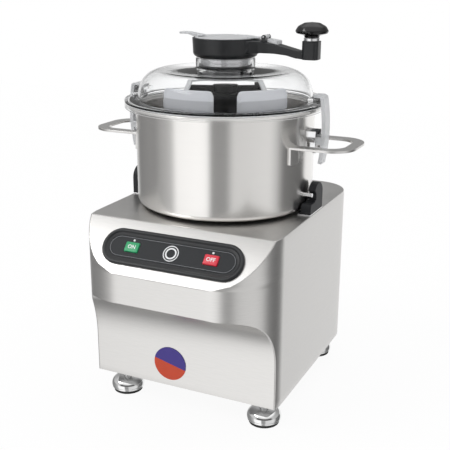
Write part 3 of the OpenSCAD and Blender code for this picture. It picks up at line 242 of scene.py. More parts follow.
# Mesh helpers. Sizes are in millimetres. A shape is an array of points and a list of faces.
# A 2-D line whose corners are replaced by arcs. A point is (x, y) or (x, y, radius).
def rounded(points, closed=False, steps=6):
    out = []
    count = len(points)
    for i, point in enumerate(points):
        here = np.array(point[:2], float)
        radius = point[2] if len(point) > 2 else 0
        if radius <= 0 or (not closed and i in (0, count - 1)):
            out.append(here)
            continue
        before = np.array(points[i - 1][:2], float) - here
        after = np.array(points[(i + 1) % count][:2], float) - here
        lenBefore, lenAfter = np.linalg.norm(before), np.linalg.norm(after)
        u, v = before / lenBefore, after / lenAfter
        half = math.acos(np.clip(u @ v, -1, 1)) / 2
        reach = min(radius / math.tan(half), 0.49 * lenBefore, 0.49 * lenAfter)
        radius = reach * math.tan(half)
        center = here + (u + v) / np.linalg.norm(u + v) * radius / math.sin(half)
        start, end = here + u * reach - center, here + v * reach - center
        a0 = math.atan2(start[1], start[0])
        turn = (math.atan2(end[1], end[0]) - a0 + math.pi) % (2 * math.pi) - math.pi
        out.extend(arcOf(center, radius, a0, a0 + turn, steps, 0))
    return np.array(out)


# Points of an arc about a center. skip leaves out its first points.
def arcOf(center, radius, a0, a1, steps, skip=1):
    a = np.linspace(a0, a1, steps + 1)[skip:]
    return np.column_stack([center[0] + radius * np.cos(a), center[1] + radius * np.sin(a)])


# Evenly spaced points from start to end, without start.
def lineOf(start, end, steps):
    return np.add(start, np.linspace(0, 1, steps + 1)[1:, None] * np.subtract(end, start))


# Quads of a grid of points, row by row. Either direction may close on itself.
def gridQuads(rows, columns, closeRows=False, closeColumns=True):
    i = np.arange(rows if closeRows else rows - 1)[:, None]
    j = np.arange(columns if closeColumns else columns - 1)
    i2, j2 = (i + 1) % rows, (j + 1) % columns
    corners = [i * columns + j, i * columns + j2, i2 * columns + j2, i2 * columns + j]
    return np.stack(corners, axis=-1).reshape(-1, 4).tolist()


# A grid of points as a solid: rows are closed lines, and the first and last rows are filled.
def solidOf(grid):
    rows, columns = grid.shape[:2]
    ends = [list(range(columns)), list(range((rows - 1) * columns, rows * columns))]
    return grid.reshape(-1, 3), gridQuads(rows, columns) + ends


# Surface of revolution: a point (r, z) of the profile at angle a becomes (r cos a, r sin a, z).
def lathe(profile, center=(0, 0), segments=160, closed=True):
    r, z = np.array(profile, float).T[:, :, None]
    a = np.arange(segments) * 2 * math.pi / segments
    grid = np.stack([center[0] + r * np.cos(a), center[1] + r * np.sin(a), z + 0 * a], axis=-1)
    return grid.reshape(-1, 3), gridQuads(len(z), segments, closed)


# Solid whose plan is given as (x, y) and which runs from z0 to z1.
def slab(outline, z0, z1):
    plan = np.array(outline, float)
    return solidOf(np.stack([np.column_stack([plan, np.full(len(plan), z)]) for z in (z0, z1)]))


# Solid whose side outline is given as (x, z) and which runs from y0 to y1.
def prism(outline, y0, y1):
    points, faces = slab(outline, y0, y1)
    return points[:, [0, 2, 1]], faces


def boxShape(low, high):
    return slab([(low[0], low[1]), (high[0], low[1]), (high[0], high[1]), (low[0], high[1])], low[2], high[2])


# The same shape turned about the bowl axis, by half a turn where no angle is given.
def turned(shape, degrees=180):
    points, faces = shape
    c, s = math.cos(math.radians(degrees)), math.sin(math.radians(degrees))
    return points @ np.array([(c, s, 0), (-s, c, 0), (0, 0, 1)]), faces


def addPiece(name, shape, material, body, replaced=(), sharp=38, bevel=0, weighted=False):
    points, faces = shape
    mesh = bpy.data.meshes.new(name)
    mesh.from_pydata((np.asarray(points) * mm).tolist(), [], faces)
    work = bmesh.new()
    work.from_mesh(mesh)
    bmesh.ops.remove_doubles(work, verts=work.verts, dist=1e-7)
    bmesh.ops.recalc_face_normals(work, faces=work.faces)
    work.to_mesh(mesh)
    work.free()
    mesh.polygons.foreach_set("use_smooth", np.ones(len(mesh.polygons), bool))
    obj = bpy.data.objects.new(name, mesh)
    scene.collection.objects.link(obj)
    mesh.materials.append(material)
    if bevel:
        modifier = obj.modifiers.new("bevel", "BEVEL")
        modifier.width = bevel * mm
        modifier.segments = 3
        modifier.limit_method = "ANGLE"
        modifier.angle_limit = math.radians(30)
        modifier.harden_normals = True
    elif weighted:
        modifier = obj.modifiers.new("weighted", "WEIGHTED_NORMAL")
        modifier.weight = 100
    else:
        mesh.set_sharp_from_angle(angle=math.radians(sharp))
    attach(obj, body)
    if replaced:
        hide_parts(*replaced)
    return obj


# Base housing
bodySet = dict(half=140.0, frontRadius=76.0, rearRadius=49.0, nose=-195.5, front=-137.5, deckFront=-141.5,
               rear=168.0, low=40.5, sweep=99.5, crease=178.0, noseTop=219.5, deck=278.0, edge=2.5, sheet=1.5,
               ringGap=9.0)


# Outline of the base at one height: a rounded oblong, drawn in by inset, with its front cut off at y = front.
def bodyRing(front, inset, height):
    s = bodySet
    half, radius, edge = s["half"] - inset, s["frontRadius"] - inset, s["edge"]
    cx, cy = s["half"] - s["frontRadius"], s["nose"] + s["frontRadius"]
    rear, rearRadius = s["rear"] - inset, s["rearRadius"] - inset
    front = max(front, s["nose"] + inset)
    dy = front + edge - cy
    xc = cx + math.sqrt(max((radius - edge) ** 2 - dy * dy, 0))
    cut = math.atan2(dy, xc - cx)
    right = np.concatenate([
        [(0, front)], lineOf((0, front), (xc, front), 14),
        arcOf((xc, front + edge), edge, -math.pi / 2, cut, 6), arcOf((cx, cy), radius, cut, 0, 28),
        lineOf((half, cy), (half, rear - rearRadius), 15),
        arcOf((half - rearRadius, rear - rearRadius), rearRadius, 0, math.pi / 2, 10),
        lineOf((half - rearRadius, rear), (0, rear), 10)])
    ring = np.concatenate([right, right[-2:0:-1] * (-1, 1)])
    return np.column_stack([ring, np.full(len(ring), height)])


# Rings stacked along the front profile: wall, quarter ellipse of the sweep, nose, control face and deck.
def housingShape():
    s = bodySet
    a = math.pi / 2 * (1 - np.arange(1, 40) / 40)
    sweep = np.column_stack([s["nose"] + (s["front"] - s["nose"]) * np.sin(a),
                             s["sweep"] + (s["crease"] - s["sweep"]) * np.cos(a)])
    line = rounded([(s["front"], s["low"]), (s["front"], s["sweep"] - 30), (s["front"], s["sweep"] - 1)]
                   + [tuple(p) for p in sweep]
                   + [(s["nose"], s["crease"], 2.2), (s["nose"], s["noseTop"], 3.0),
                      (s["deckFront"], s["deck"], 3.0), (s["deckFront"] + 20, s["deck"])])
    steps = np.maximum(1, np.linalg.norm(np.diff(line, axis=0), axis=1) // s["ringGap"]).astype(int)
    dense = np.concatenate([line[:1]] + [lineOf(p, q, n) for p, q, n in zip(line, line[1:], steps)])
    dense = dense[dense[:, 1] < s["deck"] - 1e-6]
    over = np.maximum(0, dense[:, 1] - (s["deck"] - s["edge"]))
    inset = s["edge"] - np.sqrt(s["edge"] ** 2 - over ** 2)
    rings = [bodyRing(s["front"] + s["sheet"], s["sheet"], s["low"])]
    rings += [bodyRing(y, i, z) for (y, z), i in zip(dense, inset)]
    rings.append(bodyRing(s["deckFront"] + 1.2, s["edge"], s["deck"]))
    points, faces = solidOf(np.stack(rings))
    return points, faces[:-2] + faces[-1:]  # open below, where the bottom plate closes it


addPiece("housingSkin", housingShape(), steel, "base", ["base_housing"], weighted=True)

# Feet
footSet = dict(frontX=109.5, rearX=103.0, front=-104.0, rear=132.0, radius=24.0, neck=8.0, low=3.0, lip=7.0,
               dome=13.5, body=40.5)


# A flat lip, a groove over the pad, a quarter ellipse up to the neck, and the neck.
def footProfile():
    s = footSet
    base = s["low"] + s["lip"]
    lip = rounded([(0, s["low"]), (s["radius"] - 3, s["low"]), (s["radius"] - 0.6, s["low"] + 2.2, 1.0),
                   (s["radius"] - 0.6, base - 2.4, 0.5), (s["radius"], base - 1.6, 0.6), (s["radius"], base)])
    a = np.linspace(0, math.pi / 2, 13)[1:-1]
    inner = s["neck"] - 2
    dome = np.column_stack([inner + (s["radius"] - inner) * np.cos(a), base + s["dome"] * np.sin(a)])
    neck = [(s["neck"], base + s["dome"]), (s["neck"], s["body"]), (0, s["body"])]
    return np.concatenate([lip, dome[dome[:, 0] > s["neck"]], neck])


for number, (side, row) in enumerate([(-1, "front"), (1, "front"), (-1, "rear"), (1, "rear")]):
    footShape = lathe(footProfile(), (side * footSet[row + "X"], footSet[row]), 96, False)
    replaced = ["foot_domes"] if number == 0 else ()
    addPiece(f"footDome{number}", footShape, chromeFoot, "base", replaced)

# Painted shade: a dark sheet behind the louvres of the rear cover, where the inside would lie in shade
ventSet = dict(half=47, front=168.05, back=168.35, low=123, high=199)
paintedVentShade = boxShape((-ventSet["half"], ventSet["front"], ventSet["low"]),
                      (ventSet["half"], ventSet["back"], ventSet["high"]))
addPiece("paintedVentShade", paintedVentShade, rubber, "base", ())
print("base made")

# Bowl
bowlSet = dict(outer=125.0, wall=1.3, low=280.8, rim=421.0, rimOuter=134.0, corner=9.0, tube=15.0,
               tubeTop=400.0)


# Tube, floor, rounded corner, wall and the rolled rim, outside first and then back along the inside.
def bowlProfile():
    s = bowlSet
    w, top, rim = s["wall"], s["rim"], s["rimOuter"]
    return rounded([
        (s["tube"] - w, s["low"]), (s["outer"], s["low"], s["corner"]), (s["outer"], top - 1.6, 1.4),
        (rim - 1.6, top - 1.6, 0.4), (rim - 1.6, top - 4, 0.7), (rim, top - 4, 0.7), (rim, top, 1.4),
        (s["outer"] - w, top, 1.4), (s["outer"] - w, s["low"] + w, s["corner"] - w),
        (s["tube"], s["low"] + w, 1.5), (s["tube"], s["tubeTop"], 0.6), (s["tube"] - w, s["tubeTop"], 0.6)],
        closed=True, steps=8)


bowl = lathe(bowlProfile(), segments=240)
addPiece("bowlSkin", bowl, steelBowl, "bowl", ["bowl_shell"], sharp=30)

# Lid
lidSet = dict(flangeLow=423.1, flangeTop=426.5, outer=140.0, skirtLow=416.0, skirtInner=136.0, domeR=122.0,
              flatR=90.0, domeTop=466.0, wall=3.0, neckR=41.0, neckInner=37.6, neckTop=482.0, lipR=122.7)


# Quarter ellipse from the flat top of the dome down to its foot.
def domeLine(inset, steps=20):
    s = lidSet
    a = np.linspace(0, math.pi / 2, steps + 1)
    foot = s["flangeTop"] + 3.5
    line = np.column_stack([s["flatR"] + (s["domeR"] - inset - s["flatR"]) * np.sin(a),
                            foot + (s["domeTop"] - inset - foot) * np.cos(a)])
    return [tuple(p) for p in line]


# Neck, dome, flange, skirt and locating lip on the outside, then the dome again on the inside.
def lidProfile():
    s = lidSet
    low, lip = s["flangeLow"], s["lipR"]
    outer = ([(s["neckInner"], s["neckTop"], 0.8), (s["neckR"], s["neckTop"], 0.8),
              (s["neckR"], s["domeTop"] + 2.5, 1.5)] + domeLine(0)
             + [(s["domeR"], s["flangeTop"], 2.5), (s["outer"], s["flangeTop"], 1.0),
                (s["outer"], s["skirtLow"], 0.6), (s["skirtInner"], s["skirtLow"], 0.6),
                (s["skirtInner"], low, 0.6), (lip, low, 0.5), (lip, low - 8, 0.5), (lip - 2, low - 8, 0.5),
                (lip - 2, low + 0.2, 0.3), (s["domeR"] - s["wall"], low + 1.5)])
    inner = domeLine(s["wall"])[::-1]
    return rounded(outer + inner + [(s["neckInner"], s["domeTop"] + 2.5 - s["wall"])], closed=True, steps=4)


addPiece("lidSkin", lathe(lidProfile(), segments=200), clear, "lid", ["lid_shell"], sharp=30)

# Ears under the latch hooks. From here on, an outline lists (x or radius, z, corner radius).
earSet = dict(outline=[(126, 425.5), (126, 436.2, 1.5), (135, 436.2, 2), (140.3, 429.5, 1.5), (140.3, 425.5)],
              half=14, edge=0.8)
ear = prism(rounded(earSet["outline"], closed=True, steps=4), -earSet["half"], earSet["half"])
addPiece("lidEarRight", ear, clear, "lid", (), bevel=earSet["edge"])
addPiece("lidEarLeft", turned(ear), clear, "lid", (), bevel=earSet["edge"])
print("bowl and lid made")

# Crank
cupSet = dict(outline=[(35.0, 482.3, 0.4), (38.5, 482.3, 8), (44.6, 486.0, 9), (45.0, 497, 0),
                       (45.7, 509.0, 1.0), (42.5, 509.0, 0.8), (42.3, 492.5, 5), (36, 485.4, 2),
                       (35.0, 485.3, 0.3)])
cup = lathe(rounded(cupSet["outline"], closed=True, steps=8))
addPiece("crankCup", cup, blackPlastic, "crank", ["crank_handle"])
armSet = dict(
    root=27.0, start=44.0, end=114.5, round=0.9,
    top=[(30, 507.4), (45, 507.0), (55.7, 506.4), (75.7, 503.4), (106, 496.3), (115, 496.0)],
    low=[(30, 488.9), (45, 489.2), (56, 490.9), (76, 490.6), (92, 489.0), (104, 485.9), (115, 484.9)],
    half=[(0, 27.0), (0.1, 20.0), (0.22, 14.6), (0.4, 11.6), (0.7, 9.6), (1, 8.4)])


# u runs along the arm from the cup to the boss and v across it. The half width is a line over u, and the
# heights of the top and the underside are lines over x. The edges are rounded by a small drop.
def armShape(steps=40, across=12):
    s = armSet
    u, v = np.linspace(0, 1, steps + 1)[:, None], np.linspace(-1, 1, across + 1)
    start = np.sqrt(s["start"] ** 2 - (s["root"] * v) ** 2)
    x = start + (s["end"] - start) * u
    y = v * np.interp(u, *np.transpose(s["half"]))
    drop = np.select([abs(v) > 0.99, abs(v) > 0.8], [s["round"], 0.12], 0.0)
    top = np.stack([x, y, np.interp(x, *np.transpose(s["top"])) - drop], axis=-1)
    low = np.stack([x, y, np.interp(x, *np.transpose(s["low"])) + drop], axis=-1)
    return solidOf(np.concatenate([top, low[:, ::-1]], axis=1))


addPiece("crankArm", armShape(), blackPlastic, "crank", (), sharp=50)
bossSet = dict(throw=124.0, half=11.0, corner=6.0, low=484.7, top=509.0, edge=1.2)
bossPlan = rounded([(bossSet["throw"] + sx * bossSet["half"], sy * bossSet["half"], bossSet["corner"])
                    for sx, sy in ((-1, -1), (1, -1), (1, 1), (-1, 1))], closed=True, steps=8)
boss = slab(bossPlan, bossSet["low"], bossSet["top"])
addPiece("crankBoss", boss, blackPlastic, "crank", (), bevel=bossSet["edge"])
hingeSet = dict(outline=[(56.7, 499.5), (56.7, 514.6, 2.9), (62.7, 514.6, 2.9), (62.7, 499.5)],
                sides=[("Front", -9.8, -7.3), ("Back", 7.3, 9.8)], edge=0.5)
for label, y0, y1 in hingeSet["sides"]:
    capEar = prism(rounded(hingeSet["outline"], closed=True), y0, y1)
    addPiece("capEar" + label, capEar, blackPlastic, "crank", (), bevel=hingeSet["edge"])
knobSet = dict(outline=[(0, 512.9), (9.6, 512.9, 1.0), (10.2, 515.6, 2), (20.5, 518.6, 2.0),
                        (22.0, 521.5, 2.4), (18.5, 527.5, 7), (10, 532.0, 9), (0, 532.9)])
knob = lathe(rounded(knobSet["outline"], steps=10), (bossSet["throw"], 0), 96, False)
addPiece("knobSkin", knob, knobPlastic, "knob", ["crank_knob"])

# Feed cap: disc, tab, strap and hinge barrel
capSet = dict(
    disc=[(0, 506.6), (42, 506.6, 0.6), (42, 510, 0.9), (38.6, 510, 0.8), (38, 508.9, 0.6), (0, 508.9)],
    tab=[(-34, 509.3), (-34, 511.3), (-54.7, 514.3, 6), (-67.4, 514.7, 0.8), (-68, 511.9, 1.4),
         (-54.7, 511.9, 6), (-45.7, 509.4)],
    tabHalf=7.5, strapLow=(34, -7, 509.3), strapHigh=(59.7, 7, 511.3),
    hinge=(59.7, 512.1), barrel=2.6, barrelHalf=7)


def makeCap():
    s = capSet
    disc = lathe(rounded(s["disc"], steps=5), segments=128, closed=False)
    addPiece("capDisc", disc, milky, "cap", ["feed_cap"])
    tab = prism(rounded(s["tab"], closed=True, steps=5), -s["tabHalf"], s["tabHalf"])
    addPiece("capTab", tab, milky, "cap", (), bevel=0.6)
    addPiece("capStrap", boxShape(s["strapLow"], s["strapHigh"]), milky, "cap", (), bevel=0.7)
    half, r = s["barrelHalf"], s["barrel"]
    points, faces = lathe([(0, -half), (r, -half), (r, half), (0, half)], segments=32, closed=False)
    barrel = points[:, [0, 2, 1]] + (s["hinge"][0], 0, s["hinge"][1])  # laid along Y
    addPiece("capBarrel", (barrel, faces), milky, "cap", ())


makeCap()
print("crank and cap made")

# Scraper
scraperSet = dict(turn=-65.0, gap=8.0, span=40.0, upperR=108.0, lowerR=121.0, thick=3.5, top=450.0,
                  step=409.1, crease=437.4, low=302.0, corner=7.0, ringR=39.0, sleeve=35.0, ringLow=458.0,
                  ringHigh=465.0, armLow=459.0, armHigh=461.5, bendR=96.0, armWidth=6.5, shadeBelowCrease=0.72)


# Upright curved plate between two angles. Its ends are rounded by corner, and rows lists
# (height share, how far the outside stands out).
def curvedPlate(radius, thick, a0, a1, low, high, corner, rows, columns=33):
    t = np.linspace(0, 1, columns)
    fromEnd = np.minimum(t, 1 - t) * radius * math.radians(abs(a1 - a0))
    dip = corner - np.sqrt(np.maximum(corner ** 2 - np.maximum(corner - fromEnd, 0) ** 2, 0))
    share, out = np.array(rows, float).T[:, :, None]
    a = np.radians(a0 + (a1 - a0) * t)
    z = low + dip + (high - low - 2 * dip) * share
    outer = np.stack([(radius + out) * np.cos(a), (radius + out) * np.sin(a), z], axis=-1)
    reach = radius - thick + 0 * out
    inner = np.stack([reach * np.cos(a), reach * np.sin(a), z], axis=-1)
    grid = np.concatenate([outer, inner[::-1]])
    i, last = np.arange(len(share) - 1), len(grid) - 1
    end = np.stack([i, i + 1, last - i - 1, last - i], axis=-1) * columns
    ends = np.concatenate([end, end + columns - 1]).tolist()
    return grid.reshape(-1, 3), gridQuads(len(grid), columns, True, False) + ends


def makeScraper():
    s = scraperSet
    # Painted shade on the paddles below their crease.
    paintedCreaseShade(paddlePlastic, s["crease"], s["shadeBelowCrease"])
    ringProfile = rounded([(s["sleeve"], s["ringLow"]), (s["ringR"], s["ringLow"], 0.8),
                           (s["ringR"], s["ringHigh"], 0.8), (s["sleeve"], s["ringHigh"])], closed=True)
    addPiece("scraperRing", lathe(ringProfile, segments=128), milky, "crank", ["scraper"])
    crease = (s["crease"] - s["step"]) / (s["top"] - s["step"])
    upperRows = [(0, 0.9), (crease - 0.02, 0.9), (crease + 0.02, 0.0), (0.97, 0.0), (1.0, -0.8)]
    plain = [(0, 0), (1, 0)]
    shelfDepth = s["lowerR"] - s["upperR"] + s["thick"]
    start, end = s["sleeve"] + 3, s["upperR"] - 0.5
    armLine = rounded([(start, s["armLow"]), (start, s["armHigh"]), (s["bendR"], s["armHigh"], 5),
                       (end, s["top"]), (end, s["top"] - 4), (s["bendR"] - 1, s["armLow"], 5)],
                      closed=True, steps=5)
    arm = prism(armLine, -s["armWidth"] / 2, s["armWidth"] / 2)
    for side, label in ((-1, "Left"), (1, "Right")):
        a0, a1 = (s["turn"] + side * (s["gap"] + k * s["span"]) for k in (0, 1))
        upper = curvedPlate(s["upperR"], s["thick"], a0, a1, s["step"], s["top"], s["corner"], upperRows)
        addPiece("paddleTop" + label, upper, paddlePlastic, "crank", (), bevel=0.5)
        lower = curvedPlate(s["lowerR"], s["thick"], a0, a1, s["low"], s["step"] + 1, 4, plain)
        addPiece("paddleLow" + label, lower, paddlePlastic, "crank", (), bevel=0.5)
        shelf = curvedPlate(s["lowerR"], shelfDepth, a0, a1, s["step"], s["step"] + 4, 0.01, plain)
        addPiece("paddleShelf" + label, shelf, paddlePlastic, "crank", ())
        turn = s["turn"] + side * (s["gap"] + s["span"] / 2)
        addPiece("scraperArm" + label, turned(arm, turn), milky, "crank", (), bevel=0.6)


makeScraper()
print("scraper made")

# Latch levers
latchSet = dict(tail=348.0, hook=440.5, top=438.2, crown=147.9, sag=4.4, thick=5.0, hookThick=3.6, half=10.0,
                tailHalf=8.5, hookEnd=132.0, pivot=(134.0, 379.0), lug=5.0, lugIn=6.0, bend=5.5)


# Bar along a line of (x, z) points. At each, four corners stand half the thickness across the line and
# half the width aside of it.
def sweepBar(path, halves, thicks):
    ahead = np.vstack([path[1:], path[-1:]]) - np.vstack([path[:1], path[:-1]])
    normal = ahead[:, ::-1] * (1, -1) / np.linalg.norm(ahead, axis=1)[:, None] * thicks[:, None] / 2
    across, aside = np.array([1, 1, -1, -1]), np.array([-1, 1, 1, -1])
    x, z = (path[:, k, None] + normal[:, k, None] * across for k in (0, 1))
    return solidOf(np.stack([x, halves[:, None] * aside, z], axis=-1))


# A shallow parabola from the tail to the crown and up, then a bend into the hook over the lid's ear.
def latchShape():
    s = latchSet
    middle, half = (s["tail"] + s["hook"]) / 2, (s["hook"] - s["tail"]) / 2
    z = np.linspace(s["tail"], s["top"] - 6, 17)
    line = np.column_stack([s["crown"] - s["sag"] * ((z - middle) / half) ** 2, z])
    x = s["crown"] - s["sag"] * ((s["top"] - middle) / half) ** 2
    bend = rounded([tuple(line[-1]), (x, s["top"], s["bend"]), (s["hookEnd"], s["top"])], steps=6)[1:]
    path = np.concatenate([line, bend])
    k = np.arange(len(path))
    halves = s["tailHalf"] + (s["half"] - s["tailHalf"]) * np.minimum(1, k / 6)
    return sweepBar(path, halves, np.where(k < len(line) + 3, s["thick"], s["hookThick"]))


# Lug that carries the lever's pin: a half round with a straight root in the lever.
def lugShape(y0, y1):
    s = latchSet
    px, pz = s["pivot"]
    half = arcOf(s["pivot"], s["lug"], -math.pi / 2, -1.5 * math.pi, 12, 0)
    return prism(np.concatenate([[(px + 12, pz + s["lug"]), (px + 12, pz - s["lug"])], half]), y0, y1)


for body, label, nodeName, degrees in (("right_latch", "Right", "latch_right", 0),
                                       ("left_latch", "Left", "latch_left", 180)):
    lever = turned(latchShape(), degrees)
    front = turned(lugShape(-latchSet["half"], -latchSet["lugIn"]), degrees)
    back = turned(lugShape(latchSet["lugIn"], latchSet["half"]), degrees)
    addPiece("latchLever" + label, lever, milky, body, [nodeName], bevel=1.1)
    addPiece("latchLugFront" + label, front, milky, body, (), bevel=0.5)
    addPiece("latchLugBack" + label, back, milky, body, (), bevel=0.5)
print("latches made")

# Control panel, in the plane of the sloping face
panelSet = dict(middle=(3.2, -168.5, 248.75), run=54.0, rise=58.5, length=204.0, height=51.0, lip=10.5,
                proud=4.0, overlay=2.0, lineGap=1.1, line=0.35, lineLow=0.02, lineHigh=0.08)
buttonSet = dict(x=57.5, width=20.0, height=14.0, corner=1.4, face=3.8, letters=7.4, bold=0.12, thick=0.06)


# Turns points from the plane of the face, with z out of it, into the frame.
def onFace(points):
    s = panelSet
    slant = math.hypot(s["run"], s["rise"])
    along, out = (0, s["run"] / slant, s["rise"] / slant), (0, -s["rise"] / slant, s["run"] / slant)
    return np.add(s["middle"], np.asarray(points) @ np.array([(1, 0, 0), along, out]))


# Sweeps (inset, height) points round the panel's outline of two half rounds.
def stadiumSweep(profile):
    s = panelSet
    inset, height = np.array(profile, float).T[:, :, None]
    half = np.linspace(-math.pi / 2, math.pi / 2, 25)
    a, end = np.concatenate([half, half + math.pi]), np.repeat([1, -1], 25)
    r = s["height"] / 2 - inset
    x = end * (s["length"] - s["height"]) / 2 + r * np.cos(a)
    grid = np.stack([x, r * np.sin(a), height + 0 * a], axis=-1)
    return onFace(grid.reshape(-1, 3)), gridQuads(len(height), len(a), True)


# The raised bezel round the overlay, and the thin line printed just inside it.
def makePanel():
    s = panelSet
    lip, proud, flat = s["lip"], s["proud"], s["overlay"]
    bezel = rounded([(0, 0), (0, proud, 2.4), (4.2, proud, 2.0), (6.2, proud - 1.3, 1.5),
                     (lip, flat - 0.2, 0.6), (lip, 0)], closed=True, steps=7)
    addPiece("bezelSkin", stadiumSweep(bezel), bezelPlastic, "base", ["control_bezel"], sharp=40)
    outer, low, high = lip + s["lineGap"], flat + s["lineLow"], flat + s["lineHigh"]
    inner = outer + s["line"]
    line = stadiumSweep([(outer, low), (inner, low), (inner, high), (outer, high)])
    addPiece("panelLine", line, lineGrey, "base", ())


# Oblong button: rounded oblongs stacked up, the upper two drawn in to round its edge.
def buttonShape(x):
    s = buttonSet
    rings = []
    for inset, z in [(0, -1), (0, s["face"] - 0.9), (0.3, s["face"] - 0.25), (0.9, s["face"])]:
        w, h, r = s["width"] / 2 - inset, s["height"] / 2 - inset, s["corner"]
        plan = rounded([(-w, -h, r), (w, -h, r), (w, h, r), (-w, h, r)], closed=True, steps=5)
        rings.append(np.column_stack([plan + (x, 0), np.full(len(plan), z)]))
    points, faces = solidOf(np.stack(rings))
    return onFace(points), faces


# Plain letters on a button, made from text as a thin mesh.
def addLetters(name, word, x, body):
    s = buttonSet
    curve = bpy.data.curves.new(name, "FONT")
    curve.body = word
    curve.size = s["letters"] * mm
    curve.align_x = "CENTER"
    curve.align_y = "CENTER"
    curve.offset = s["bold"] * mm
    curve.resolution_u = 4
    curve.extrude = s["thick"] * mm
    textObject = bpy.data.objects.new(name + "Text", curve)
    scene.collection.objects.link(textObject)
    mesh = bpy.data.meshes.new_from_object(textObject.evaluated_get(bpy.context.evaluated_depsgraph_get()))
    points = np.empty(3 * len(mesh.vertices))
    mesh.vertices.foreach_get("co", points)
    points = points.reshape(-1, 3) / mm + (x, 0, s["face"] + s["thick"])
    faces = [tuple(p.vertices) for p in mesh.polygons]
    bpy.data.objects.remove(textObject)
    addPiece(name, (onFace(points), faces), whitePrint, body, ())


makePanel()
for label, side, material, body, word in (("green", -1, green, "on_button", "ON"),
                                          ("red", 1, red, "off_button", "OFF")):
    x = side * buttonSet["x"]
    addPiece(label + "Button", buttonShape(x), material, body, [label + "_button"])
    addLetters(label + "Letters", word, x, body)

# Round badge in two plain colours
badgeSet = dict(center=(-19.0, 74.5), radius=24.5, y=-137.5, thick=0.8, tilt=-14)


def halfDisc(first):
    b = badgeSet
    a0 = math.radians(b["tilt"] + first)
    return prism(arcOf(b["center"], b["radius"], a0, a0 + math.pi, 48, 0), b["y"] - b["thick"], b["y"])


addPiece("badgeUpper", halfDisc(0), badgeBlue, "base", ["round_badge"])
addPiece("badgeLower", halfDisc(180), badgeOrange, "base", ())
print("panel made")

# Surroundings: a white room for the camera, and bands of light and dark for the reflections.
# Each list gives (compass angle in degrees, brightness).
skySet = dict(
    bands=[(-180, 0.3), (-166, 0.3), (-156, 0.42), (-146, 0.5), (-138, 0.62), (-130, 1.15), (-100, 1.25),
           (-88, 1.2), (-82, 0.34), (-64, 0.36), (-54, 0.78), (-6, 0.86), (4, 0.66), (16, 0.2), (54, 0.14),
           (61, 1.0), (118, 1.0), (140, 0.6), (150, 0.24), (180, 0.3)],
    upper=[(-180, 0.6), (-140, 0.7), (-60, 0.85), (0, 0.6), (60, 0.35), (110, 0.3), (150, 0.4), (180, 0.6)],
    screen=[(-180, 0), (-125, 0), (-112, 1), (-22, 1), (-8, 0), (180, 0)],
    lamp=[(-180, 0), (-156, 0), (-150, 1), (-122, 1), (-116, 0), (180, 0)],
    ceiling=1.3, screenShade=0.12, lampPower=7.0, throughLid=0.4)
world = bpy.data.worlds.new("world")
scene.world = world
world.use_nodes = True
sky = world.node_tree
sky.nodes.clear()
skyCoords = addNode(sky, "ShaderNodeTexCoord")
direction = addNode(sky, "ShaderNodeSeparateXYZ")
sky.links.new(skyCoords.outputs["Generated"], direction.inputs["Vector"])
angle = addNode(sky, "ShaderNodeMath", operation="ARCTAN2")
sky.links.new(direction.outputs["Y"], angle.inputs[0])
sky.links.new(direction.outputs["X"], angle.inputs[1])
compass = mapped(sky, angle.outputs[0], -math.pi, math.pi)


# Brightness by compass angle, straight between the stops.
def around(stops):
    node = addNode(sky, "ShaderNodeValToRGB")
    elements = node.color_ramp.elements
    elements.remove(elements[-1])
    for i, (degrees, value) in enumerate(stops):
        element = elements[0] if i == 0 else elements.new((degrees + 180) / 360)
        element.position = (degrees + 180) / 360
        element.color = (value, value, value, 1)
    sky.links.new(compass, node.inputs["Fac"])
    return node.outputs["Color"]


# Goes from 0 to 1 as the direction's Z rises from low to high.
def rising(low, high):
    return mapped(sky, direction.outputs["Z"], low, high, kind="SMOOTHSTEP")


# Mixes two brightnesses. Each is a number or a socket.
def blend(factor, low, high):
    node = addNode(sky, "ShaderNodeMix", data_type="FLOAT")
    sky.links.new(factor, node.inputs[0])
    for socket, value in ((node.inputs[2], low), (node.inputs[3], high)):
        if isinstance(value, (int, float)):
            socket.default_value = value
        else:
            sky.links.new(value, socket)
    return node.outputs[0]


def combined(first, second, operation):
    node = addNode(sky, "ShaderNodeMath", operation=operation)
    sky.links.new(first, node.inputs[0])
    if isinstance(second, float):
        node.inputs[1].default_value = second
    else:
        sky.links.new(second, node.inputs[1])
    return node.outputs[0]


# Upright faces mirror the bands a little below the horizon, and the deck mirrors what is a little above it
room = blend(rising(0.0, 0.12), around(skySet["bands"]), around(skySet["upper"]))
room = blend(rising(0.5, 0.85), room, skySet["ceiling"])
# A dark screen behind the camera
screenRise = blend(rising(0.42, 0.5), rising(0.06, 0.12), 0.0)
room = blend(combined(around(skySet["screen"]), screenRise, "MULTIPLY"), room, skySet["screenShade"])
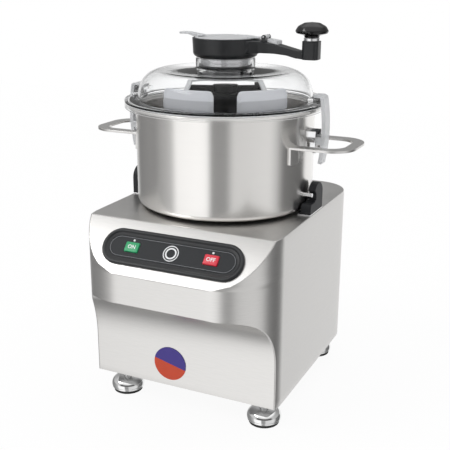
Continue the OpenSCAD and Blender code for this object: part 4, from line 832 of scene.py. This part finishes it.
# A small softbox high on the left, for the highlights on the knob, the cup and the dome
lampRise = blend(rising(0.7, 0.74), rising(0.56, 0.6), 0.0)
room = blend(combined(around(skySet["lamp"]), lampRise, "MULTIPLY"), room, skySet["lampPower"])
# White for the camera and through the lid, but only partly so once a ray has been mirrored
lightPath = addNode(sky, "ShaderNodeLightPath")
unmirrored = combined(lightPath.outputs["Glossy Depth"], 0.5, "LESS_THAN")
passing = blend(unmirrored, skySet["throughLid"], 1.0)
through = combined(lightPath.outputs["Is Transmission Ray"], passing, "MULTIPLY")
seen = combined(lightPath.outputs["Is Camera Ray"], through, "MAXIMUM")
background = addNode(sky, "ShaderNodeBackground")
sky.links.new(blend(seen, room, 1.0), background.inputs["Color"])
worldOut = addNode(sky, "ShaderNodeOutputWorld")
sky.links.new(background.outputs[0], worldOut.inputs["Surface"])

# Plain pale floor. The camera sees it near white with a soft shadow, and polished metal sees past it.
floorSet = dict(half=2500.0, shade=0.95, glow=0.93)


def makeFloor():
    reach = floorSet["half"] * mm
    mesh = bpy.data.meshes.new("floor")
    mesh.from_pydata([(-reach, -reach, 0), (reach, -reach, 0), (reach, reach, 0), (-reach, reach, 0)], [],
                     [(0, 1, 2, 3)])
    floor = bpy.data.objects.new("floor", mesh)
    scene.collection.objects.link(floor)
    paint = basic("floorPaint", (floorSet["shade"],) * 3, 0.9)
    tree, shader = nodesOf(paint)
    glow = addNode(tree, "ShaderNodeEmission")
    glow.inputs["Color"].default_value = (1, 1, 1, 1)
    ray = addNode(tree, "ShaderNodeLightPath")
    mix = addNode(tree, "ShaderNodeMixShader")
    tree.links.new(mapped(tree, ray.outputs["Is Camera Ray"], 0, 1, 0, floorSet["glow"]), mix.inputs[0])
    tree.links.new(shader.outputs[0], mix.inputs[1])
    tree.links.new(glow.outputs[0], mix.inputs[2])
    tree.links.new(mix.outputs[0], tree.nodes["Material Output"].inputs["Surface"])
    mesh.materials.append(paint)
    floor.visible_glossy = False
    floor.visible_transmission = False


makeFloor()
print("surroundings made")
